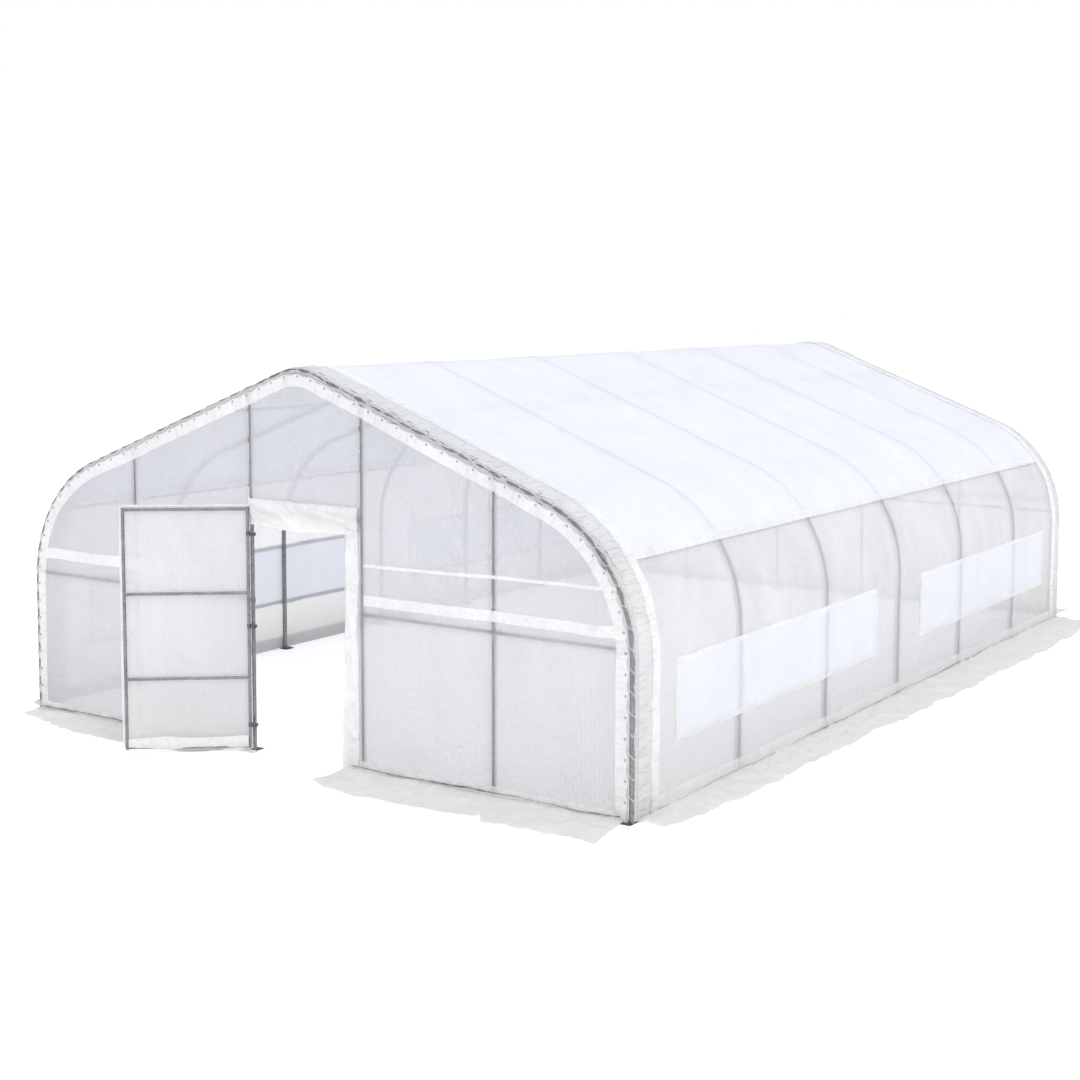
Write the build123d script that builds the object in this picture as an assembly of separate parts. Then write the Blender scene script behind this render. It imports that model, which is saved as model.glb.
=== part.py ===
from build123d import *
import math
import os

# Hoops: six bays of 1524 mm, tube centre to tube centre
WIDTH = 6100
HEIGHT = 3050
BAY = 1524
BAYS = 6
SLOPE = 21
EAVE_R = 1120
RIDGE_R = 520
HOOP_TUBE_R = 21
HOOP_WALL = 1.5
SPIGOT = 45
SPIGOT_CLEAR = 0.3
JOINT_GAP = 0.5

# Lengthways tubes
PURLIN_R = 13
PURLIN_WALL = 1.5
EAVE_SEAM_ANGLE = 35
ROOF_SEAM_X = 950
SEAT = 0.5
CLAMP_FIT = 0.6
CLAMP_HALF = (17, 24)
CLAMP_WALL = 3
CLAMP_LAP = 14

# End frames
POST_R = 16
POST_WALL = 1.5
DOOR_POST_X = (-505, 635)
OUTER_POST_X = (-1815, 1870)
RAIL_R = 13
RAIL_Z = 1215
HEADER_Z = 1930
BRACKET_WALL = 3
BRACKET_REACH = 45
BRACKET_TALL = 36
SLIDE_FIT = 0.1

# Feet
PLATE = 6
FOOT_X = 95
FOOT_Y = 110
FOOT_HOLE_R = 5.5
FOOT_HOLES_APART = 84
POST_FOOT = 80

# Cover
FILM = 3
FILM_GAP = 1
PANE = 1.5
HEM = 2
WALL_HEM = 100
COVER_END = 30

# Windows in the side covers
WINDOW_LONG = 3440
WINDOW_HIGH = 530
WINDOW_LOW_Z = 500
WINDOW_FROM_END = 600
WINDOW_HEM = 40

# Doorway and door
OPENING_RIGHT_X = 470
VALANCE_LOW_Z = 1820
VALANCE_HIGH_Z = 2040
DOOR_TUBE_R = 12.5
DOOR_WALL = 1.5
DOOR_REACH = 985
DOOR_OPEN = 142
DOOR_CLEAR = 6
STILE_LOW_Z = 34
STILE_HIGH_Z = 1964
DOOR_RAIL_Z = (50, 600, 1280, 1950)
HINGE_Z = (200, 1000, 1740)
HINGE_SIDE = 25
LUG = 6
LUG_HALF = 8
PIN_R = 6
EYE_BORE_R = 6.05
EYE_R = 11
EYE_TALL = 30
STILE_FROM_AXIS = 25

# Skirts on the ground: the side skirts as distance from their front end, and width beyond the film
SIDE_SKIRT = ((0, 232), (890, 373), (2400, 361), (3670, 410), (5400, 487), (7940, 519))
SIDE_SKIRT_END = 485
FRONT_SKIRT = 540
BACK_SKIRT = 560

# Values that follow from the ones above
HALF = WIDTH / 2
LENGTH = BAY * BAYS
FRONT_Y = -LENGTH / 2
BACK_Y = LENGTH / 2
SIN = math.sin(math.radians(SLOPE))
COS = math.cos(math.radians(SLOPE))
TAN = SIN / COS
EAVE_X = HALF - EAVE_R
RIDGE_Z = HEIGHT - RIDGE_R
RAFTER_TOP = (RIDGE_R * SIN, RIDGE_Z + RIDGE_R * COS)
RAFTER_LOW_X = EAVE_X + EAVE_R * SIN
RAFTER_LOW = (RAFTER_LOW_X, RAFTER_TOP[1] - (RAFTER_LOW_X - RAFTER_TOP[0]) * TAN)
EAVE_Z = RAFTER_LOW[1] - EAVE_R * COS
FILM_IN = HOOP_TUBE_R + FILM_GAP
FILM_OUT = FILM_IN + FILM
WALL_IN_Y = POST_R + FILM_GAP
WALL_OUT_Y = WALL_IN_Y + FILM
HINGE_X = DOOR_POST_X[0] + HINGE_SIDE
HINGE_Y = FRONT_Y - WALL_OUT_Y - DOOR_CLEAR - DOOR_TUBE_R
CLAMP_R = POST_R + 4


def on_eave(offset, angle):
    a = math.radians(angle)
    r = EAVE_R + offset
    return (EAVE_X + r * math.cos(a), EAVE_Z + r * math.sin(a))


def on_rafter(offset, x):
    z = RAFTER_TOP[1] + (RAFTER_TOP[0] - x) * TAN + offset / COS
    return (x, z)


def on_ridge(offset, angle):
    a = math.radians(angle)
    r = RIDGE_R + offset
    return (r * math.cos(a), RIDGE_Z + r * math.sin(a))


def arc(point, offset, start, end):
    return ThreePointArc(point(offset, start), point(offset, (start + end) / 2), point(offset, end))


def upright(edges, y, depth):
    plane = Plane(origin=(0, y, 0), x_dir=(1, 0, 0), z_dir=(0, -1, 0))
    return extrude(plane * make_face(edges), amount=depth, dir=(0, 1, 0))


def flat(points, z, thick):
    return extrude(Plane.XY.offset(z) * make_face(Polyline(*points, close=True)), amount=thick)


def block(low, high):
    size = [b - a for a, b in zip(low, high)]
    return Pos(*low) * Box(*size, align=(Align.MIN, Align.MIN, Align.MIN))


def mirrored(part):
    return part.mirror(Plane.YZ)


def rod(start, end, r):
    direction = Vector(*end) - Vector(*start)
    return extrude(Plane(origin=start, z_dir=direction) * Circle(r), amount=direction.length)


def tube(start, end, r, wall):
    return rod(start, end, r) - rod(start, end, r - wall)


def at(y, point):
    return (point[0], y, point[1])


def along(start, end, distance):
    step = (Vector(*end) - Vector(*start)).normalized() * distance
    return tuple(Vector(*start) + step)


# A bent length of hoop with a reduced end at both sides that slips into the next tube
def bend(centre, radius, start, end, y):
    a, b = math.radians(start), math.radians(end)
    path = ThreePointArc(*[
        (centre[0] + radius * math.cos(t), y, centre[1] + radius * math.sin(t))
        for t in (a, (a + b) / 2, b)
    ])
    body = sweep(Plane(origin=path @ 0, z_dir=path % 0) * Circle(HOOP_TUBE_R), path=path)
    spigot_r = HOOP_TUBE_R - HOOP_WALL - SPIGOT_CLEAR
    low, high = path @ 0, path @ 1
    low_tip = low - (path % 0) * SPIGOT
    high_tip = high + (path % 1) * SPIGOT
    return body + rod(tuple(low_tip), tuple(low), spigot_r) + rod(tuple(high), tuple(high_tip), spigot_r)


def hoop(y):
    low = (HALF, y, PLATE)
    leg = tube(low, (HALF, y, EAVE_Z - JOINT_GAP), HOOP_TUBE_R, HOOP_WALL)
    foot, head = at(y, RAFTER_LOW), at(y, RAFTER_TOP)
    rafter = tube(along(foot, head, JOINT_GAP), along(head, foot, JOINT_GAP), HOOP_TUBE_R, HOOP_WALL)
    eave = bend((EAVE_X, EAVE_Z), EAVE_R, 0, 90 - SLOPE, y)
    ridge = bend((0, RIDGE_Z), RIDGE_R, 90 - SLOPE, 90 + SLOPE, y)
    right = [leg, eave, rafter]
    return Compound([p.solid() for p in right + [mirrored(q) for q in right] + [ridge]])


# Foot plates with two anchor holes each
def foot(x0, x1, y0, y1):
    plate = block((x0, y0, 0), (x1, y1, PLATE))
    middle, centre = (x0 + x1) / 2, (y0 + y1) / 2
    for side in (-1, 1):
        hole = rod((middle, centre + side * FOOT_HOLES_APART / 2, -1), (middle, centre + side * FOOT_HOLES_APART / 2, PLATE + 1), FOOT_HOLE_R)
        plate -= hole
    return plate


def hoop_feet():
    plates = []
    for i in range(BAYS + 1):
        y = FRONT_Y + i * BAY
        plates.append(foot(HALF + HOOP_TUBE_R - FOOT_X, HALF + HOOP_TUBE_R, y - FOOT_Y / 2, y + FOOT_Y / 2))
    return plates


# Lengthways tubes under the hoops
def purlin(x, z):
    end = WALL_IN_Y - FILM_GAP - 4
    return tube((x, FRONT_Y - end, z), (x, BACK_Y + end, z), PURLIN_R, PURLIN_WALL)


UNDER = -(HOOP_TUBE_R + PURLIN_R + SEAT)


# Cross clamp: a saddle that cradles the hoop and holds the purlin under it in a bore
def purlin_clamp(centre, angle, y, front, back):
    a = math.radians(angle)
    nx, nz = math.cos(a), math.sin(a)
    half = CLAMP_HALF[0]
    low, high = UNDER - PURLIN_R - CLAMP_WALL, CLAMP_LAP - HOOP_TUBE_R
    saddle = block((-half, -front, low), (half, back, high))
    saddle -= rod((-2 * half, 0, 0), (2 * half, 0, 0), HOOP_TUBE_R + CLAMP_FIT)
    saddle -= rod((0, -2 * front, UNDER), (0, 2 * back, UNDER), PURLIN_R + SLIDE_FIT)
    origin = (centre[0] - UNDER * nx, y, centre[1] - UNDER * nz)
    return Plane(origin=origin, x_dir=(nz, 0, -nx), z_dir=(nx, 0, nz)) * saddle


def clamps_on(centre, angle):
    clamps = []
    end = WALL_IN_Y - FILM_GAP - 4
    for i in range(BAYS + 1):
        front = end if i == 0 else CLAMP_HALF[1]
        back = end if i == BAYS else CLAMP_HALF[1]
        clamps.append(purlin_clamp(centre, angle, FRONT_Y + i * BAY, front, back))
    return clamps


# One end frame: posts coped under the hoop, rails coped between the posts
def post_top(x):
    return on_rafter(0, abs(x))[1]


def post(x, y):
    body = tube((x, y, PLATE), (x, y, post_top(x)), POST_R, POST_WALL)
    side = 1 if x > 0 else -1
    low = (side * RAFTER_LOW[0], y, RAFTER_LOW[1])
    high = (side * RAFTER_TOP[0], y, RAFTER_TOP[1])
    cutter = rod(along(low, high, -300), along(high, low, -300), HOOP_TUBE_R + SEAT)
    return max((body - cutter).solids(), key=lambda s: s.volume)


def rail(x0, r0, x1, r1, y, z, r, wall):
    body = tube((x0, y, z), (x1, y, z), r, wall)
    for x, post_r in ((x0, r0), (x1, r1)):
        body -= rod((x, y, z - 60), (x, y, z + 60), post_r + SEAT)
    return max(body.solids(), key=lambda s: s.volume)


def end_rails(y):
    hoop_x = EAVE_X + math.sqrt(EAVE_R ** 2 - (RAIL_Z + RAIL_R - EAVE_Z) ** 2)
    stops = [(-hoop_x, HOOP_TUBE_R), (OUTER_POST_X[0], POST_R), (DOOR_POST_X[0], POST_R)]
    stops += [(DOOR_POST_X[1], POST_R), (OUTER_POST_X[1], POST_R), (hoop_x, HOOP_TUBE_R)]
    spans = list(zip(stops, stops[1:]))
    if y < 0:
        spans.pop(2)
    return Compound([rail(a[0], a[1], b[0], b[1], y, RAIL_Z, RAIL_R, PURLIN_WALL) for a, b in spans])


# Half clamp behind a post, with a half sleeve over the end of each rail that meets it
def rail_bracket(x, y, z, rail_r, sides, inward):
    tall, reach = BRACKET_TALL / 2, BRACKET_REACH
    shell = rod((x, y, z - tall), (x, y, z + tall), POST_R + BRACKET_WALL)
    for side in sides:
        shell += rod((x, y, z), (x + side * reach, y, z), rail_r + BRACKET_WALL)
    shell -= rod((x, y, z - 2 * tall), (x, y, z + 2 * tall), POST_R + SLIDE_FIT)
    for side in sides:
        shell -= rod((x, y, z), (x + side * 2 * reach, y, z), rail_r + SLIDE_FIT)
    near, far = sorted((y, y + inward * 2 * tall))
    return shell & block((x - 2 * reach, near, z - 2 * tall), (x + 2 * reach, far, z + 2 * tall))


def rail_brackets():
    both = (-1, 1)
    front = [(x, both) for x in OUTER_POST_X] + [(DOOR_POST_X[0], (-1,)), (DOOR_POST_X[1], (1,))]
    brackets = [rail_bracket(x, FRONT_Y, RAIL_Z, RAIL_R, sides, 1) for x, sides in front]
    for x in DOOR_POST_X + OUTER_POST_X:
        brackets.append(rail_bracket(x, BACK_Y, RAIL_Z, RAIL_R, both, -1))
    return brackets


def post_feet(y, inward):
    plates = []
    for x in DOOR_POST_X + OUTER_POST_X:
        near, far = y - inward * POST_R, y + inward * (POST_FOOT - POST_R)
        plates.append(block((x - POST_FOOT / 2, min(near, far), 0), (x + POST_FOOT / 2, max(near, far), PLATE)))
    return Compound([p.solid() for p in plates])


# Cover: side walls from the ground to the eave seam
def cover_span():
    return FRONT_Y + COVER_END, LENGTH - 2 * COVER_END


def side_cover():
    edges = [
        Line((HALF + FILM_IN, FILM), (HALF + FILM_IN, EAVE_Z)),
        arc(on_eave, FILM_IN, 0, EAVE_SEAM_ANGLE),
        Line(on_eave(FILM_IN, EAVE_SEAM_ANGLE), on_eave(FILM_OUT, EAVE_SEAM_ANGLE)),
        arc(on_eave, FILM_OUT, EAVE_SEAM_ANGLE, 0),
        Line((HALF + FILM_OUT, EAVE_Z), (HALF + FILM_OUT, FILM)),
        Line((HALF + FILM_OUT, FILM), (HALF + FILM_IN, FILM)),
    ]
    sheet = upright(edges, *cover_span())
    for y in window_starts():
        sheet -= block((HALF, y, WINDOW_LOW_Z), (HALF + 60, y + WINDOW_LONG, WINDOW_LOW_Z + WINDOW_HIGH))
    return sheet


def window_starts():
    return FRONT_Y + WINDOW_FROM_END, BACK_Y - WINDOW_FROM_END - WINDOW_LONG


def window_box(y, grow, x0, x1):
    low = (x0, y - grow, WINDOW_LOW_Z - grow)
    return block(low, (x1, y + WINDOW_LONG + grow, WINDOW_LOW_Z + WINDOW_HIGH + grow))


def window_panes():
    x = HALF + FILM_OUT
    return [window_box(y, WINDOW_HEM, x, x + PANE) for y in window_starts()]


def window_hems():
    x = HALF + FILM_OUT + PANE
    frames = []
    for y in window_starts():
        frames.append(window_box(y, WINDOW_HEM, x, x + HEM) - window_box(y, 0, x - 1, x + HEM + 1))
    return frames


# Cover: a roof panel from the eave seam to the roof seam, and the panel over the ridge
def roof_panel():
    top = 90 - SLOPE
    edges = [
        arc(on_eave, FILM_IN, EAVE_SEAM_ANGLE, top),
        Line(on_eave(FILM_IN, top), on_rafter(FILM_IN, ROOF_SEAM_X)),
        Line(on_rafter(FILM_IN, ROOF_SEAM_X), on_rafter(FILM_OUT, ROOF_SEAM_X)),
        Line(on_rafter(FILM_OUT, ROOF_SEAM_X), on_eave(FILM_OUT, top)),
        arc(on_eave, FILM_OUT, top, EAVE_SEAM_ANGLE),
        Line(on_eave(FILM_OUT, EAVE_SEAM_ANGLE), on_eave(FILM_IN, EAVE_SEAM_ANGLE)),
    ]
    return upright(edges, *cover_span())


def flipped(point):
    return (-point[0], point[1])


def ridge_panel():
    low, high = 90 - SLOPE, 90 + SLOPE
    edges = [
        Line(on_rafter(FILM_IN, ROOF_SEAM_X), on_ridge(FILM_IN, low)),
        arc(on_ridge, FILM_IN, low, high),
        Line(on_ridge(FILM_IN, high), flipped(on_rafter(FILM_IN, ROOF_SEAM_X))),
        Line(flipped(on_rafter(FILM_IN, ROOF_SEAM_X)), flipped(on_rafter(FILM_OUT, ROOF_SEAM_X))),
        Line(flipped(on_rafter(FILM_OUT, ROOF_SEAM_X)), on_ridge(FILM_OUT, high)),
        arc(on_ridge, FILM_OUT, high, low),
        Line(on_ridge(FILM_OUT, low), on_rafter(FILM_OUT, ROOF_SEAM_X)),
        Line(on_rafter(FILM_OUT, ROOF_SEAM_X), on_rafter(FILM_IN, ROOF_SEAM_X)),
    ]
    return upright(edges, *cover_span())


# End walls inside the hoop, in front of the posts
def end_outline(inset):
    top = 90 - SLOPE
    right = [
        Line((HALF - inset, FILM), (HALF - inset, EAVE_Z)),
        arc(on_eave, -inset, 0, top),
        Line(on_eave(-inset, top), on_ridge(-inset, top)),
    ]
    left = [
        Line(flipped(on_ridge(-inset, top)), flipped(on_eave(-inset, top))),
        ThreePointArc(*[flipped(on_eave(-inset, a)) for a in (top, top / 2, 0)]),
        Line((inset - HALF, EAVE_Z), (inset - HALF, FILM)),
    ]
    base = [Line((inset - HALF, FILM), (HALF - inset, FILM))]
    return right + [arc(on_ridge, -inset, top, 180 - top)] + left + base


def end_sheet(y, thick):
    return upright(end_outline(HOOP_TUBE_R + FILM_GAP), y, thick)


def end_hem(y):
    inset = HOOP_TUBE_R + FILM_GAP
    inner = upright(end_outline(inset + WALL_HEM), y - 1, HEM + 2)
    band = upright(end_outline(inset), y, HEM) - inner
    return band - block((WALL_HEM + inset - HALF, y - 1, 0), (HALF - inset - WALL_HEM, y + HEM + 1, FILM + WALL_HEM))


WALL_LEFT_X = DOOR_POST_X[0] - CLAMP_R - 4
GABLE_LOW_Z = VALANCE_HIGH_Z + 1


def front_walls():
    y = FRONT_Y - WALL_OUT_Y
    sheet = end_sheet(y, FILM)
    deep = (y - 10, y + FILM + 10)
    left = sheet & block((-HALF, deep[0], 0), (WALL_LEFT_X, deep[1], HEIGHT))
    right = sheet & block((OPENING_RIGHT_X, deep[0], 0), (HALF, deep[1], HEIGHT))
    gable = sheet & block((WALL_LEFT_X, deep[0], GABLE_LOW_Z), (OPENING_RIGHT_X, deep[1], HEIGHT))
    return left, right, gable


# Crumpled flap rolled round the header tube
def valance():
    middle = (VALANCE_LOW_Z + VALANCE_HIGH_Z) / 2
    tall = VALANCE_HIGH_Z - VALANCE_LOW_Z
    thick = 2 * WALL_IN_Y
    x0, x1 = DOOR_POST_X[0] + POST_R + 1, DOOR_POST_X[1] - POST_R - 1
    plane = Plane(origin=(x0, FRONT_Y, middle), x_dir=(0, 1, 0), z_dir=(1, 0, 0))
    outline = plane * RectangleRounded(thick, tall, thick / 2 - 1)
    roll = extrude(outline, amount=x1 - x0)
    return roll - rod((x0 - 1, FRONT_Y, HEADER_Z), (x1 + 1, FRONT_Y, HEADER_Z), RAIL_R + SEAT)


# Hinges: a pipe clamp with an upright pin beside the door post, an eye on the door's stile
def hinge_clamp(z):
    post_x = DOOR_POST_X[0]
    low, high, tip = z - 2 * LUG, z + 2 * LUG, FRONT_Y + CLAMP_R + 14
    ring = rod((post_x, FRONT_Y, low), (post_x, FRONT_Y, high), CLAMP_R)
    root = block((post_x, FRONT_Y - CLAMP_R + 2, z - LUG), (HINGE_X + LUG_HALF, FRONT_Y, z))
    arm = block((HINGE_X - LUG_HALF, HINGE_Y, z - LUG), (HINGE_X + LUG_HALF, FRONT_Y, z))
    nose = rod((HINGE_X, HINGE_Y, z - LUG), (HINGE_X, HINGE_Y, z), LUG_HALF + 1)
    pin = rod((HINGE_X, HINGE_Y, z - LUG), (HINGE_X, HINGE_Y, z + EYE_TALL + LUG), PIN_R)
    ear = block((post_x - 5, FRONT_Y, low), (post_x + 5, tip, high))
    slot = block((post_x - 1, FRONT_Y, low - 1), (post_x + 1, tip + 1, high + 1))
    hole = rod((post_x, FRONT_Y, low - 1), (post_x, FRONT_Y, high + 1), POST_R + SLIDE_FIT)
    return (ring + root + arm + nose + ear) - slot - hole + pin


def hinge_eye(z):
    low = z + 1
    x = HINGE_X + STILE_FROM_AXIS
    eye = rod((HINGE_X, HINGE_Y, low), (HINGE_X, HINGE_Y, low + EYE_TALL), EYE_R)
    web = block((HINGE_X, HINGE_Y - 4, low), (x, HINGE_Y + 4, low + EYE_TALL))
    band = rod((x, HINGE_Y, low), (x, HINGE_Y, low + EYE_TALL), DOOR_TUBE_R + 2.5)
    bore = rod((HINGE_X, HINGE_Y, low - 1), (HINGE_X, HINGE_Y, low + EYE_TALL + 1), EYE_BORE_R)
    seat = rod((x, HINGE_Y, low - 1), (x, HINGE_Y, low + EYE_TALL + 1), DOOR_TUBE_R + 0.1)
    return (eye + web + band) - bore - seat


# Door, drawn shut and then swung open about the pins
def swung(part):
    return part.rotate(Axis((HINGE_X, HINGE_Y, 0), (0, 0, 1)), -DOOR_OPEN)


def stile(x):
    return tube((x, HINGE_Y, STILE_LOW_Z), (x, HINGE_Y, STILE_HIGH_Z), DOOR_TUBE_R, DOOR_WALL)


def door_rails(x0, x1):
    return [rail(x0, DOOR_TUBE_R, x1, DOOR_TUBE_R, HINGE_Y, z, DOOR_TUBE_R - 1, DOOR_WALL) for z in DOOR_RAIL_Z]


def door_cover(x0, x1):
    y = HINGE_Y - DOOR_TUBE_R - SEAT
    sheet = block((x0 - DOOR_TUBE_R, y - FILM, 70), (x1 + DOOR_TUBE_R, y, STILE_HIGH_Z + 10))
    for z in HINGE_Z:
        sheet -= block((x0 - 20, y - FILM - 1, z - 3), (x0 + 20, y + 1, z + EYE_TALL + 5))
    return sheet


def door_bottom_hem(x0, x1):
    z = DOOR_RAIL_Z[0]
    ends = (x0 + DOOR_TUBE_R + 1, x1 - DOOR_TUBE_R - 1)
    return tube((ends[0], HINGE_Y, z), (ends[1], HINGE_Y, z), DOOR_TUBE_R + 4, 4)


# Skirts lying on the ground
def side_skirt():
    front, back = FRONT_Y + COVER_END, BACK_Y - COVER_END
    wall = HALF + FILM_OUT
    points = [(HALF + FILM_IN, front)]
    points += [(wall + width, front + y) for y, width in SIDE_SKIRT]
    points += [(wall + SIDE_SKIRT_END, back), (HALF + FILM_IN, back)]
    return flat(points, 0, FILM)


def front_skirts():
    y = FRONT_Y - WALL_IN_Y
    out = FRONT_Y - FRONT_SKIRT
    right = [
        (OPENING_RIGHT_X, y), (HALF - 50, y), (HALF + 40, out + 20), (2140, out - 30),
        (2060, out + 100), (2030, out + 20), (1450, out - 20), (700, out),
    ]
    left = [
        (WALL_LEFT_X, y), (-900, out + 20), (-1690, out + 50), (-2300, out + 110),
        (-HALF - 20, out + 330), (50 - HALF, y),
    ]
    return flat(right, 0, FILM), flat(left, 0, FILM)


def back_skirt():
    y = BACK_Y + WALL_IN_Y
    out = BACK_Y + BACK_SKIRT
    return flat([(50 - HALF, y), (HALF - 50, y), (HALF + 20, out), (-HALF - 20, out)], 0, FILM)


def save(name, shapes):
    if not isinstance(shapes, (list, tuple)):
        shapes = [shapes]
    solids = [s for shape in shapes for s in shape.solids()]
    whole = solids[0] if len(solids) == 1 else Compound(solids)
    export_step(whole, "parts/" + name + ".step")


os.makedirs("parts", exist_ok=True)
names = ["front_hoop", "hoop_2", "hoop_3", "hoop_4", "hoop_5", "hoop_6", "back_hoop"]
for index, name in enumerate(names):
    save(name, hoop(FRONT_Y + index * BAY))

feet = hoop_feet()
save("hoop_feet", feet + [mirrored(p) for p in feet])

ridge_z = HEIGHT + UNDER
eave = on_eave(UNDER, EAVE_SEAM_ANGLE)
mid = on_rafter(UNDER, ROOF_SEAM_X)
save("ridge_purlin", purlin(0, ridge_z))
save("eave_purlins", [purlin(*eave), purlin(*flipped(eave))])
save("roof_purlins", [purlin(*mid), purlin(*flipped(mid))])
side_clamps = clamps_on(eave, EAVE_SEAM_ANGLE) + clamps_on(mid, 90 - SLOPE)
save("purlin_clamps", clamps_on((0, ridge_z), 90) + side_clamps + [mirrored(c) for c in side_clamps])

save("door_posts", [post(x, FRONT_Y) for x in DOOR_POST_X])
save("front_posts", [post(x, FRONT_Y) for x in OUTER_POST_X])
save("back_posts", [post(x, BACK_Y) for x in DOOR_POST_X + OUTER_POST_X])
save("front_rails", end_rails(FRONT_Y))
save("back_rails", end_rails(BACK_Y))
save("door_header", rail(DOOR_POST_X[0], POST_R, DOOR_POST_X[1], POST_R, FRONT_Y, HEADER_Z, RAIL_R, PURLIN_WALL))
save("rail_brackets", rail_brackets())
save("post_feet", [post_feet(FRONT_Y, 1), post_feet(BACK_Y, -1)])

side = side_cover()
save("right_side_cover", side)
save("left_side_cover", mirrored(side))
panes, hems = window_panes(), window_hems()
save("right_windows", panes)
save("left_windows", [mirrored(p) for p in panes])
save("window_hems", hems + [mirrored(p) for p in hems])
roof = roof_panel()
save("right_roof_cover", roof)
save("left_roof_cover", mirrored(roof))
save("ridge_cover", ridge_panel())

plates = Compound([p.solid() for p in feet + [mirrored(q) for q in feet]])
wall_left, wall_right, gable = front_walls()
save("front_wall_left", wall_left - plates)
save("front_wall_right", wall_right - plates)
save("front_gable", gable)
save("back_wall", end_sheet(BACK_Y + WALL_IN_Y, FILM) - plates)
hems = [end_hem(FRONT_Y - WALL_OUT_Y - HEM) - plates, end_hem(BACK_Y + WALL_OUT_Y) - plates]
save("end_hems", hems)
save("valance", valance())

skirt = side_skirt()
save("right_skirt", skirt)
save("left_skirt", mirrored(skirt))
skirt_right, skirt_left = front_skirts()
save("front_skirts", [skirt_right - plates, skirt_left - plates])
save("back_skirt", back_skirt() - plates)

save("hinge_clamps", [hinge_clamp(z) for z in HINGE_Z])
near, far = HINGE_X + STILE_FROM_AXIS, HINGE_X + DOOR_REACH
save("hinge_eyes", [swung(hinge_eye(z)) for z in HINGE_Z])
save("door_hinge_stile", swung(stile(near)))
save("door_free_stile", swung(stile(far)))
save("door_rails", [swung(r) for r in door_rails(near, far)])
save("door_cover", swung(door_cover(near, far)))
save("door_bottom_hem", swung(door_bottom_hem(near, far)))
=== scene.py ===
import math
from functools import partial

import bpy
import numpy as np
from bpy.props import FloatProperty, FloatVectorProperty, PointerProperty
from mathutils import Matrix, Vector


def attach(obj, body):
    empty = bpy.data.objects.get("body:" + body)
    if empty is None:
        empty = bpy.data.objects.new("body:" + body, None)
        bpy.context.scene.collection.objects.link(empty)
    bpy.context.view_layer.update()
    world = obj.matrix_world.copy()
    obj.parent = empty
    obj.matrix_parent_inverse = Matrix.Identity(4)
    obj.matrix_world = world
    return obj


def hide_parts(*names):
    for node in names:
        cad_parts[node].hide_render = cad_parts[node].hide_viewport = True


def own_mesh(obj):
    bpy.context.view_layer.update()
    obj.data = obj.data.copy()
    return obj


bl_info = {
    "name": "Polytunnel greenhouse",
    "version": (1, 0, 0),
    "blender": (4, 5, 0),
    "location": "View3D > Sidebar > Polytunnel",
    "description": "Film, hems, lacing and fittings for a walk-in polytunnel on its steel frame",
    "category": "Add Mesh",
}

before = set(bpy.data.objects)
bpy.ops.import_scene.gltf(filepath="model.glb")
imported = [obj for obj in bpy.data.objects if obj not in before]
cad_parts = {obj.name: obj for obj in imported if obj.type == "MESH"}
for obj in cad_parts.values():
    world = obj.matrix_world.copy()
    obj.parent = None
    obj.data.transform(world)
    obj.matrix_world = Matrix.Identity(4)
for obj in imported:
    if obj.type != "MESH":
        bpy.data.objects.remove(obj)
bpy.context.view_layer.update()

# Sizes shared with the construction model, in metres
HALF = 3.05
HEIGHT = 3.05
BAY = 1.524
BAYS = 6
FRONT_Y = -4.572
SLOPE = math.radians(21)
EAVE_R = 1.12
RIDGE_R = 0.52
EAVE_X = HALF - EAVE_R
RIDGE_Z = HEIGHT - RIDGE_R
RIDGE_END = (RIDGE_R * math.sin(SLOPE), RIDGE_Z + RIDGE_R * math.cos(SLOPE))
EAVE_END_X = EAVE_X + EAVE_R * math.sin(SLOPE)
EAVE_END = (EAVE_END_X, RIDGE_END[1] - (EAVE_END_X - RIDGE_END[0]) * math.tan(SLOPE))
EAVE_Z = EAVE_END[1] - EAVE_R * math.cos(SLOPE)
ARC_LONG = EAVE_R * (math.pi / 2 - SLOPE)
RAFTER_LONG = math.hypot(EAVE_END[0] - RIDGE_END[0], EAVE_END[1] - RIDGE_END[1])
HALF_LONG = EAVE_Z + ARC_LONG + RAFTER_LONG + RIDGE_R * SLOPE
WHOLE_LONG = 2 * HALF_LONG
SEAM = EAVE_Z + EAVE_R * math.radians(35)
FILM_OFF = 0.0235  # the film's middle stands this far out from the hoops' centreline
COVER_Y = FRONT_Y + 0.030
COVER_LONG = 9.084
WALL_Y = FRONT_Y - 0.0170
WALL_INSET = 0.022
WALL_SEED = {-1: 61, 1: 81}
DOOR_POSTS = (-0.505, 0.635)
OUTER_POSTS = (-1.815, 1.870)
DOORWAY_LEFT, DOORWAY_RIGHT, DOORWAY_TOP = -0.529, 0.470, 2.041
WINDOW_LONG, WINDOW_HIGH, WINDOW_LOW = 3.44, 0.53, 0.50
WINDOW_STARTS = (FRONT_Y + 0.60, -FRONT_Y - 0.60 - WINDOW_LONG)
HINGE = Vector((-0.480, -4.6105, 0))
HINGE_Z = (0.200, 1.000, 1.740)
DOOR_OPEN = math.radians(142)
DOOR_NEAR, DOOR_FAR = HINGE.x + 0.025, HINGE.x + 0.985
DOOR_RAILS = (0.05, 0.60, 1.28, 1.95)
DOOR_LANDS = (0.545, 2.0)  # half width and height of the wall that the shut door lies against
HEADER_Z = 1.930
FOOT_X, HOLE_Y = 3.0235, 0.042

# The cover's two sides: whether it lies past the ridge as seen from the right foot, its name and its outward side
SIDES = ((False, "right", (1, 0, 0)), (True, "left", (-1, 0, 0)))

# Outer edge of the side skirts: distance along the cover and x
SIDE_SKIRT = (
    (0, 3.307), (0.89, 3.448), (2.4, 3.436), (3.67, 3.485), (5.4, 3.562), (7.94, 3.594), (COVER_LONG, 3.560))

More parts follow.
